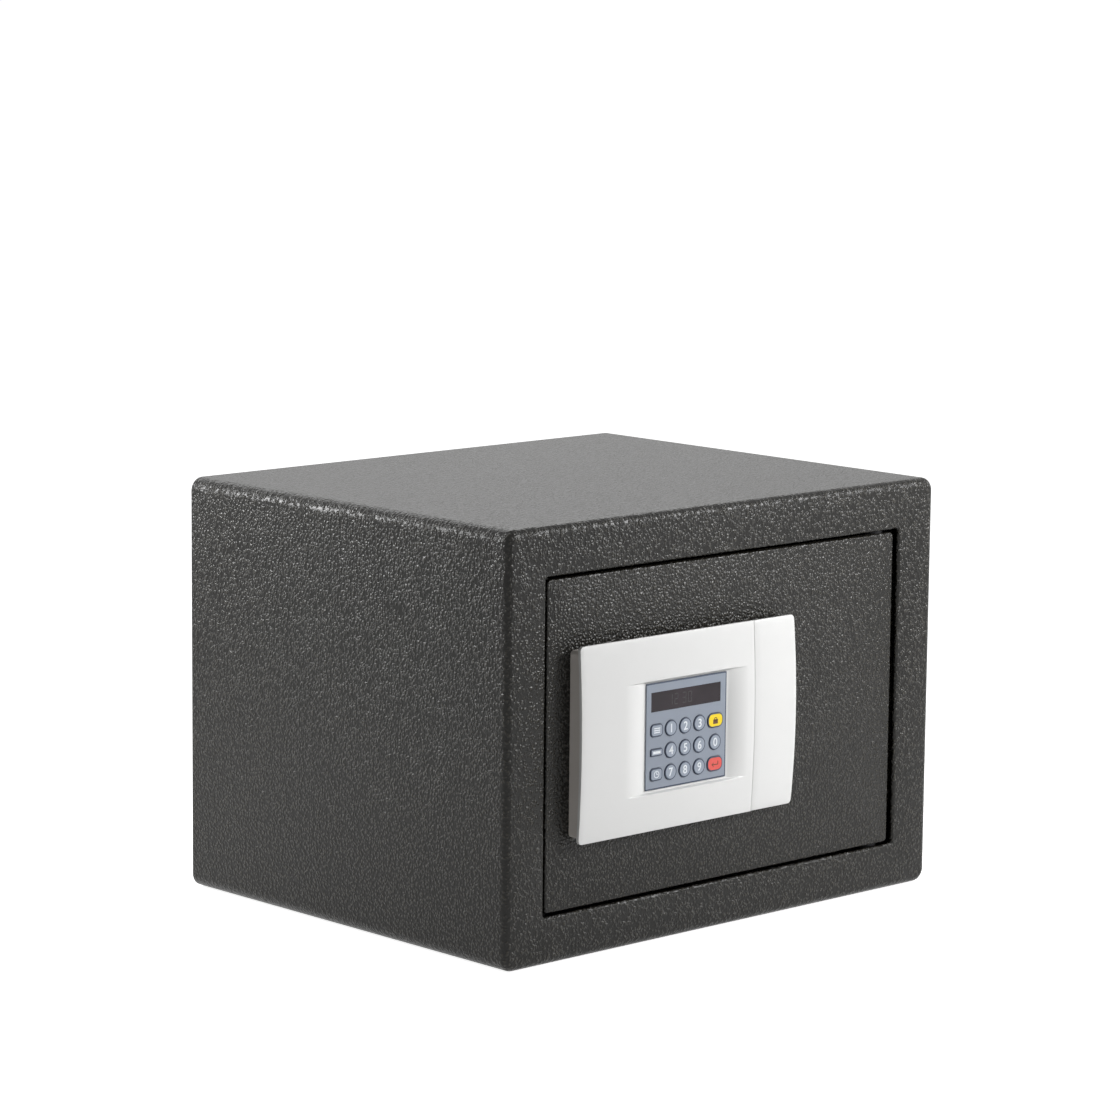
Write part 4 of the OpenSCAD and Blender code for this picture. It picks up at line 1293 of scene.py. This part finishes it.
    def mould(
        self, shop: Workshop, name: str, bm: BMesh, body: Body, node: str, wall: float
    ) -> None:
        """Makes a white moulding of one sheet: gives it its wall and rounds its outer rim.

        Args:
            shop: Workshop that finishes the piece.
            name: Name of the piece.
            bm: One sheet with outward normals. It is freed.
            body: Body that carries the piece.
            node: CAD node that it replaces.
            wall: Thickness of the wall.
        """
        white = [WHITE_ABS]
        piece = shop.finish(
            name, bm, body, white, Slot.PANEL_WHITE, (node,), smooth_degrees=MOULDED_DEGREES
        )
        solid = piece.modifiers.new("wall", "SOLIDIFY")
        solid.thickness = wall * MM
        solid.offset = -1.0
        solid.use_even_offset = False
        add_bevel(piece, "rim", self.rim_edge, 3, RIM_DEGREES)

    def cover(self, shop: Workshop) -> None:
        """Builds the key cover: its bowed plate, bulging right edge, side wall and two tongues."""
        left, right = self.seam_x + self.seam / 2, self.x[1]
        bm = self.blank(left, right)
        self.round_corners(bm, right)
        slice_mesh(bm, 0, steps(left, right - 3.0, 5) + [right - 2.9])
        slice_mesh(bm, 2, steps(self.z[0], self.z[1], 30))
        for vert in bm.verts:
            share = 1.0 - self.drop(vert.co.z) / (right - left)
            vert.co.x = left + (vert.co.x - left) * share
            vert.co.y = self.front(vert.co.z)
        self.mould(shop, "key_cover_front", bm, Body.KEY_COVER, "key_cover", self.wall)
        outside = right - self.wall_inset
        low, high = self.z[0] + self.wall_end, self.z[1] - self.wall_end
        wall = bmesh.new()
        box_mesh(wall, (outside - self.wall, outside), (-self.rise + 1.0, 0.6), (low, high))
        slice_mesh(wall, 2, steps(low, high, 24))
        for vert in wall.verts:
            vert.co.x -= self.drop(vert.co.z)
            if vert.co.y < 0:
                vert.co.y = self.front(vert.co.z) + 1.0
        tongue_x = (left + 1.0, right - self.tongue_end)
        for z in (self.z[0] + self.tongue_places[0], self.z[1] - self.tongue_places[1]):
            box_mesh(wall, tongue_x, (self.front(z) + 1.2, -1.6), (z, z + self.tongue))
        shop.finish(
            "key_cover_wall", wall, Body.KEY_COVER, [WHITE_ABS], Slot.PANEL_WHITE, bevel_mm=0.3
        )

    def drop(self, z: float) -> float:
        """How far the bulging right edge lies behind its farthest point at a height."""
        return self.side_bulge * ((z - self.middle_z) / self.half_height) ** 2

    def build(self, shop: Workshop) -> None:
        """Builds and dresses the panel."""
        self.face(shop)
        self.cover(shop)
        shop.soften_node("panel_base", Body.DOOR, GREY_ABS, Slot.PANEL_GREY, 0.35, 3)


# Keypad


class KeyKind(Enum):
    """Shapes of the keys."""

    ROUND = "round"
    SQUARE = "square"
    SMALL = "small"
    WIDE = "wide"


class Mark(Enum):
    """Generic marks on the keys that carry no figure."""

    NONE = "none"
    BARS = "bars"
    LABEL = "label"
    CLOCK = "clock"
    PADLOCK = "padlock"
    RETURN = "return"


@dataclass(frozen=True)
class Key:
    """One key: its name, kind, column, row, finish and what is printed on it."""

    name: str
    kind: KeyKind
    column: int
    row: int
    slot: Slot = Slot.KEY_GREY
    figure: str = ""
    mark: Mark = Mark.NONE


KEYS = (
    Key("set_key", KeyKind.SQUARE, 0, 2, mark=Mark.BARS),
    Key("menu_key", KeyKind.SMALL, 0, 1, mark=Mark.LABEL),
    Key("clock_key", KeyKind.SQUARE, 0, 0, mark=Mark.CLOCK),
    *(
        Key(f"digit_key_{n}", KeyKind.ROUND, 1 + (n - 1) % 3, 2 - (n - 1) // 3, figure=str(n))
        for n in range(1, 10)
    ),
    Key("digit_key_0", KeyKind.ROUND, 4, 1, figure="0"),
    Key("lock_key", KeyKind.WIDE, 4, 2, Slot.KEY_YELLOW, mark=Mark.PADLOCK),
    Key("enter_key", KeyKind.WIDE, 4, 0, Slot.KEY_RED, mark=Mark.RETURN),
)


@dataclass
class Keypad:
    """Keypad plate with its display and fifteen keys that travel."""

    panel: LockPanel
    plate_thickness: float = 0.8
    key_radius: float = 4.6
    hole_gap: float = 0.25
    key_rise: float = 0.6
    key_edge: float = 0.12
    ring: float = 0.65
    flange: float = 0.9
    stem_radius: float = 1.8
    stem_length: float = 1.1
    # width of the painted shade line round the foil
    edge_line: float = 0.85
    plate_corner: float = 0.4
    columns: tuple[float, ...] = (8.0, 19.5, 31.0, 42.5, 55.3)
    rows: tuple[float, ...] = (8.8, 21.6, 34.4)
    display_x: Span = (3.6, 59.6)
    display_z: Span = (45.1, 56.5)
    ink: float = 0.04
    figure_height: float = 5.0
    arrow_tilt: float = 38.0
    edge_sunk: float = 0.08
    pane_gap: float = 0.1
    figures_place: Span = (13.9, 2.4)
    segment_pitch: float = 4.6
    segment_colon: float = 1.8

    @property
    def plate_front(self) -> float:
        """Depth of the plate's front face."""
        return self.panel.pad_floor - self.plate_thickness

    @property
    def key_front(self) -> float:
        """Depth of the keys' faces at rest."""
        return self.plate_front - self.key_rise

    def display_opening(self, gap: float) -> tuple[Span, Span]:
        """Left, right, lower and upper edge of the display opening, drawn in by a gap."""
        x, z = self.panel.pad_x[0], self.panel.pad_z[0]
        return (
            (x + self.display_x[0] + gap, x + self.display_x[1] - gap),
            (z + self.display_z[0] + gap, z + self.display_z[1] - gap),
        )

    def half_sizes(self, kind: KeyKind) -> Point:
        """Half width, half height and corner radius of a kind of key."""
        return {
            KeyKind.ROUND: (self.key_radius, self.key_radius, self.key_radius),
            KeyKind.SQUARE: (4.7, 3.6, 2.2),
            KeyKind.SMALL: (4.6, 2.1, 0.8),
            KeyKind.WIDE: (6.1, 4.2, 3.6),
        }[kind]

    def centre(self, key: Key) -> Span:
        """Centre of a key in x and z."""
        return (
            self.panel.pad_x[0] + self.columns[key.column],
            self.panel.pad_z[0] + self.rows[key.row],
        )

    def outline(self, key: Key, grow: float, y: Span) -> BMesh:
        """A closed slice of a key's outline between two depths.

        Args:
            key: Key whose outline is taken.
            grow: How much it is grown all round.
            y: Front and back of the slice.

        Returns:
            The slice as a new mesh.
        """
        x, z = self.centre(key)
        half_x, half_z, corner = self.half_sizes(key.kind)
        if key.kind is KeyKind.ROUND:
            bm = bmesh.new()
            rod_mesh(bm, (x, (y[0] + y[1]) / 2, z), 1, half_x + grow, y[1] - y[0], 56)
            return bm
        return slab_mesh(
            (x - half_x - grow, x + half_x + grow),
            y,
            (z - half_z - grow, z + half_z + grow),
            corner + grow,
        )

    def cap(self, key: Key) -> BMesh:
        """Key cap: a dark printed ring round a plain face."""
        front = self.key_front
        bm = self.outline(key, 0.0, (front, self.panel.pad_floor + 0.2))
        round_edges(bm, rim_at(bm, front), self.key_edge, 2)
        for face in bm.faces:
            face.material_index = 1
        face = front_face(bm, front)
        bmesh.ops.inset_region(bm, faces=[face], thickness=self.ring - self.key_edge, depth=0.0)
        front_face(bm, front).material_index = 0
        return bm

    def strip(self, x: Span, z: Span, y: float) -> BMesh:
        """A thin printed bar on the front of a key."""
        bm = bmesh.new()
        box_mesh(bm, x, (y - self.ink, y), z)
        return bm

    def arrow_barb(self, x: float, z: float, y: float, degrees: float) -> BMesh:
        """One barb of the arrow on the return key, turned about the arrow's tip.

        Args:
            x: Middle of the key.
            z: Height of its middle.
            y: Depth of its face.
            degrees: How far the barb is turned.

        Returns:
            The barb as a new mesh.
        """
        bm = self.strip((x - 2.6, x - 0.8), (z - 0.7, z - 0.3), y)
        turn = Matrix.Rotation(math.radians(degrees), 3, "Y")
        bmesh.ops.rotate(bm, verts=bm.verts, cent=(x - 2.5, 0.0, z - 0.5), matrix=turn)
        return bm

    def ring_mark(self, x: float, z: float, radius: float, width: float, y: float) -> BMesh:
        """A thin printed circle.

        Args:
            x: Middle of the circle.
            z: Height of its middle.
            radius: Outer radius.
            width: Width of the line.
            y: Depth of the key's face.

        Returns:
            The circle as a new mesh.
        """
        middle = (x, y - self.ink / 2, z)
        bm, hole = bmesh.new(), bmesh.new()
        rod_mesh(bm, middle, 1, radius, self.ink, 32)
        rod_mesh(hole, middle, 1, radius - width, 10 * self.ink, 32)
        return carve(bm, hole)

    def printed(self, key: Key, y: float) -> list[BMesh]:
        """What is printed on a key: a figure, or a generic mark.

        Args:
            key: Key that carries the print.
            y: Depth of its face.

        Returns:
            Thin meshes of ink.
        """
        x, z = self.centre(key)
        if key.figure:
            ink = text_mesh(key.figure, self.figure_height, self.ink)
            bmesh.ops.translate(ink, verts=ink.verts, vec=(x, y, z))
            return [ink]
        if key.mark is Mark.BARS:
            heights = (z - 1.2, z, z + 1.2)
            return [self.strip((x - 2.4, x + 2.4), (h - 0.3, h + 0.3), y) for h in heights]
        if key.mark is Mark.LABEL:
            return [self.strip((x - 2.9, x + 2.9), (z - 0.75, z + 0.75), y)]
        if key.mark is Mark.CLOCK:
            return [
                self.ring_mark(x, z, 2.1, 0.45, y),
                self.strip((x - 0.2, x + 0.2), (z, z + 1.4), y),
                self.strip((x, x + 1.1), (z - 0.2, z + 0.2), y),
            ]
        if key.mark is Mark.PADLOCK:
            shackle = self.ring_mark(x, z + 0.5, 1.25, 0.45, y)
            return [self.strip((x - 1.9, x + 1.9), (z - 2.1, z + 0.5), y), shackle]
        if key.mark is Mark.RETURN:
            return [
                self.strip((x - 2.2, x + 2.6), (z - 0.75, z - 0.25), y),
                self.strip((x + 2.1, x + 2.6), (z - 0.75, z + 1.5), y),
                self.arrow_barb(x, z, y, self.arrow_tilt),
                self.arrow_barb(x, z, y, -self.arrow_tilt),
            ]
        return []

    def key(self, shop: Workshop, key: Key) -> None:
        """Builds one key with its flange, its stem and what is printed on it."""
        floor = self.panel.pad_floor
        bm = self.cap(key)
        add_mesh(bm, self.outline(key, self.flange, (floor + 0.1, floor + 1.0)), 0)
        x, z = self.centre(key)
        stem = bmesh.new()
        rod_mesh(stem, (x, floor + 1.45, z), 1, self.stem_radius, self.stem_length, 24)
        add_mesh(bm, stem, 0)
        for ink in self.printed(key, self.key_front):
            add_mesh(bm, ink, 2)
        face = {Slot.KEY_GREY: KEY_FACE, Slot.KEY_YELLOW: KEY_YELLOW, Slot.KEY_RED: KEY_RED}
        ink_finish = WHITE_INK if key.slot is Slot.KEY_GREY else DARK_INK
        finishes = [face[key.slot], RING_INK_AND_EDGE_SHADE, ink_finish]
        shop.finish(f"{key.name}_cap", bm, key.name, finishes, key.slot, (key.name,))

    def plate(self, shop: Workshop) -> None:
        """Builds the keypad plate with its key holes and display opening."""
        back, front = self.panel.pad_floor, self.plate_front
        x, z, line = self.panel.pad_x, self.panel.pad_z, self.edge_line
        bm = slab_mesh(
            (x[0], x[1] - line), (front, back), (z[0] + line, z[1] - line), self.plate_corner
        )
        holes = bmesh.new()
        for key in KEYS:
            add_mesh(holes, self.outline(key, self.hole_gap, (front - PAST, back + PAST)))
        across, up = self.display_opening(0.0)
        box_mesh(holes, across, (front - PAST, back + PAST), up)
        bm = carve(bm, holes)
        # painted shade: a dark rim round the foil stands in for the shadow gap at the bed's walls
        add_mesh(bm, self.plate_edge(front + self.edge_sunk, back), 1)
        finishes = [FOIL, RING_INK_AND_EDGE_SHADE]
        shop.finish(
            "keypad_foil", bm, Body.DOOR, finishes, Slot.KEYPAD_FOIL, ("keypad_plate",)
        )

    def plate_edge(self, front: float, back: float) -> BMesh:
        """Painted shade round the plate: a dark edge above, below and right of the foil, where the
        shadow gap against the bed's walls falls.

        Args:
            front: Its front.
            back: Its back.

        Returns:
            The edge as a new mesh.
        """
        x, z, line = self.panel.pad_x, self.panel.pad_z, self.edge_line
        frame_mesh = slab_mesh(x, (front, back), z, self.plate_corner)
        inner = slab_mesh(
            (x[0] - 2 * PAST, x[1] - line),
            (front - PAST, back + PAST),
            (z[0] + line, z[1] - line),
            0.2,
        )
        return carve(frame_mesh, inner)

    def segment_figure(self, x: float, z: float, y: float, lit: str) -> list[BMesh]:
        """One seven-segment figure as thin bars.

        Args:
            x: Left edge of the figure.
            z: Lower edge of the figure.
            y: Depth of the display's face.
            lit: Names of its lit segments, from a to g.

        Returns:
            The bars.
        """
        wide, high, bar = 3.2, 6.4, 0.6
        places = {
            "a": ((0.3, wide - 0.3), (high - bar, high)),
            "b": ((wide - bar, wide), (high / 2 + 0.2, high - 0.3)),
            "c": ((wide - bar, wide), (0.3, high / 2 - 0.2)),
            "d": ((0.3, wide - 0.3), (0.0, bar)),
            "e": ((0.0, bar), (0.3, high / 2 - 0.2)),
            "f": ((0.0, bar), (high / 2 + 0.2, high - 0.3)),
            "g": ((0.3, wide - 0.3), (high / 2 - bar / 2, high / 2 + bar / 2)),
        }
        bars = []
        for (left, right), (low, top) in (places[name] for name in lit):
            bars.append(self.strip((x + left, x + right), (z + low, z + top), y))
        return bars

    def display(self, shop: Workshop) -> None:
        """Builds the display window with faint figures behind its face."""
        front = self.plate_front + self.pane_gap
        across, up = self.display_opening(self.pane_gap)
        bm = slab_mesh(across, (front, self.panel.pad_floor), up, 0.2, 2)
        left, low = across[0] + self.figures_place[0], up[0] + self.figures_place[1]
        for step, lit in enumerate(("bc", "abged", "abgcd", "abcdef")):
            place = left + step * self.segment_pitch + (self.segment_colon if step > 1 else 0.0)
            for bar in self.segment_figure(place, low, front + 0.02, lit):
                add_mesh(bm, bar, 1)
        finishes = [GLASS, SEGMENT]
        shop.finish(
            "display_pane", bm, Body.DOOR, finishes, Slot.DISPLAY_GLASS, ("display_window",)
        )

    def build(self, shop: Workshop) -> None:
        """Builds the keypad."""
        self.plate(shop)
        self.display(shop)
        for key in KEYS:
            self.key(shop, key)
        shop.dress_nodes(BLACK_ABS, "display_module")
        shop.dress_nodes(MAT_RUBBER, "key_mat")
        shop.dress_nodes(MASK, "keypad_board")


# Moving lock work


@dataclass
class LockWork:
    """Bolts and their carriage, rack and pinion, the emergency lock and the battery lid."""

    def build(self, shop: Workshop) -> None:
        """Dresses the moving parts of the lock."""
        for name in ("bolt_upper", "bolt_lower"):
            shop.soften_node(name, Body.BOLTS, BOLT_STEEL, Slot.BOLT_STEEL, 0.3, 3)
        for name in ("bolt_carriage", "drive_rack"):
            shop.soften_node(name, Body.BOLTS, ZINC, Slot.ZINC_STEEL, 0.2)
        shop.dress_nodes(ZINC, "bolt_screws", "release_cam", "cam_screw")
        shop.dress_nodes(PLAIN_STEEL, "release_peg")
        shop.dress_nodes(BRASS, "drive_pinion", "cylinder_plug")
        shop.soften_node("battery_lid", Body.BATTERY_LID, BLACK_ABS, Slot.CASE_PLASTIC, 0.3)


# Studio


@dataclass
class Lamp:
    """One area lamp of the studio, in metres."""

    name: str
    place: Point
    aim: Point
    size: Span
    watts: float

    def build(self) -> None:
        """Makes the lamp and turns it to its aim."""
        data = bpy.data.lights.new(self.name, "AREA")
        data.shape = "RECTANGLE"
        data.size, data.size_y = self.size
        data.energy = self.watts
        item = linked(self.name, data)
        item.location = self.place
        item.visible_camera = False
        way = Vector(self.aim) - Vector(self.place)
        item.rotation_mode = "QUATERNION"
        item.rotation_quaternion = way.to_track_quat("-Z", "Y")


@dataclass
class Studio:
    """White studio: floor, plain lamps, white surroundings and the photograph's camera."""

    azimuth: float = -43.292
    elevation: float = 8.918
    roll: float = 0.571
    camera_place: Point = (-1693.431, -1793.308, 586.705)
    focal_px: float = 4140.887
    image_px: float = 1120.0
    fill: float = 0.16
    floor_radius: float = 40.0
    floor_gap: float = 0.0005
    lamps: tuple[Lamp, ...] = (
        Lamp("near_softbox", (0.42, -0.58, 0.42), (0.05, -0.14, 0.19), (0.17, 0.17), 3.85),
        Lamp("key_softbox", (1.75, -2.15, 1.35), (0.0, -0.1, 0.12), (0.7, 0.7), 17.0),
        Lamp("left_near_softbox", (-0.55, 0.5, 0.45), (-0.17, 0.05, 0.2), (0.17, 0.17), 4.4),
        Lamp("left_softbox", (-2.2, 0.6, 1.5), (-0.1, 0.0, 0.12), (0.9, 1.2), 2.9),
        Lamp("back_softbox", (0.9, 1.6, 1.6), (0.0, 0.0, 0.15), (2.0, 1.0), 13.0),
    )

    def camera(self) -> None:
        """Makes the camera at the photograph's place and angle."""
        az, el, roll = (math.radians(a) for a in (self.azimuth, self.elevation, self.roll))
        level = math.cos(el)
        back = Vector((math.sin(az) * level, -math.cos(az) * level, math.sin(el)))
        right = (-back).cross(Vector((0.0, 0.0, 1.0))).normalized()
        up = right.cross(-back)
        right, up = (
            right * math.cos(roll) + up * math.sin(roll),
            up * math.cos(roll) - right * math.sin(roll),
        )
        data = bpy.data.cameras.new("photo_camera")
        data.sensor_width = 36.0
        data.sensor_fit = "HORIZONTAL"
        data.lens = self.focal_px / self.image_px * data.sensor_width
        data.clip_start, data.clip_end = 0.05, 100.0
        item = linked("photo_camera", data)
        turn = Matrix((right, up, back)).transposed().to_4x4()
        item.matrix_world = Matrix.Translation(Vector(self.camera_place) * MM) @ turn
        bpy.context.scene.camera = item

    def floor(self) -> None:
        """Makes the floor as a wide disc under the safe."""
        bm = bmesh.new()
        bmesh.ops.create_circle(bm, cap_ends=True, radius=self.floor_radius, segments=96)
        mesh = bpy.data.meshes.new("studio_floor")
        bm.to_mesh(mesh)
        bm.free()
        mesh.materials.append(FLOOR.material())
        item = linked("studio_floor", mesh)
        item.location.z = -self.floor_gap

    def surroundings(self) -> None:
        """Plain fill light, and white where the camera or a reflection sees the background."""
        world = bpy.data.worlds.new("studio_white")
        bpy.context.scene.world = world
        world.use_nodes = True
        tree = world.node_tree
        tree.nodes.clear()
        level = remap(tree, seen_white(tree), (self.fill, 1.0))
        white = {"Color": (1.0, 1.0, 1.0, 1.0)}
        sky = add_node(tree, "ShaderNodeBackground", white, {"Strength": level})
        add_node(tree, "ShaderNodeOutputWorld", {}, {"Surface": sky.outputs[0]})

    def build(self) -> None:
        """Builds the studio."""
        self.camera()
        self.floor()
        self.surroundings()
        for lamp in self.lamps:
            lamp.build()
        bpy.context.scene.view_settings.view_transform = "Standard"


def main() -> None:
    """Builds the studio and the safe, and reports each piece."""
    logging.basicConfig(level=logging.INFO, format="%(name)s: %(message)s")
    Studio().build()
    shop = Workshop()
    Cabinet().build(shop)
    Door().build(shop)
    panel = LockPanel()
    panel.build(shop)
    Keypad(panel).build(shop)
    LockWork().build(shop)
    log.info("%d new pieces", len(shop.pieces))


if __name__ == "__main__":
    main()
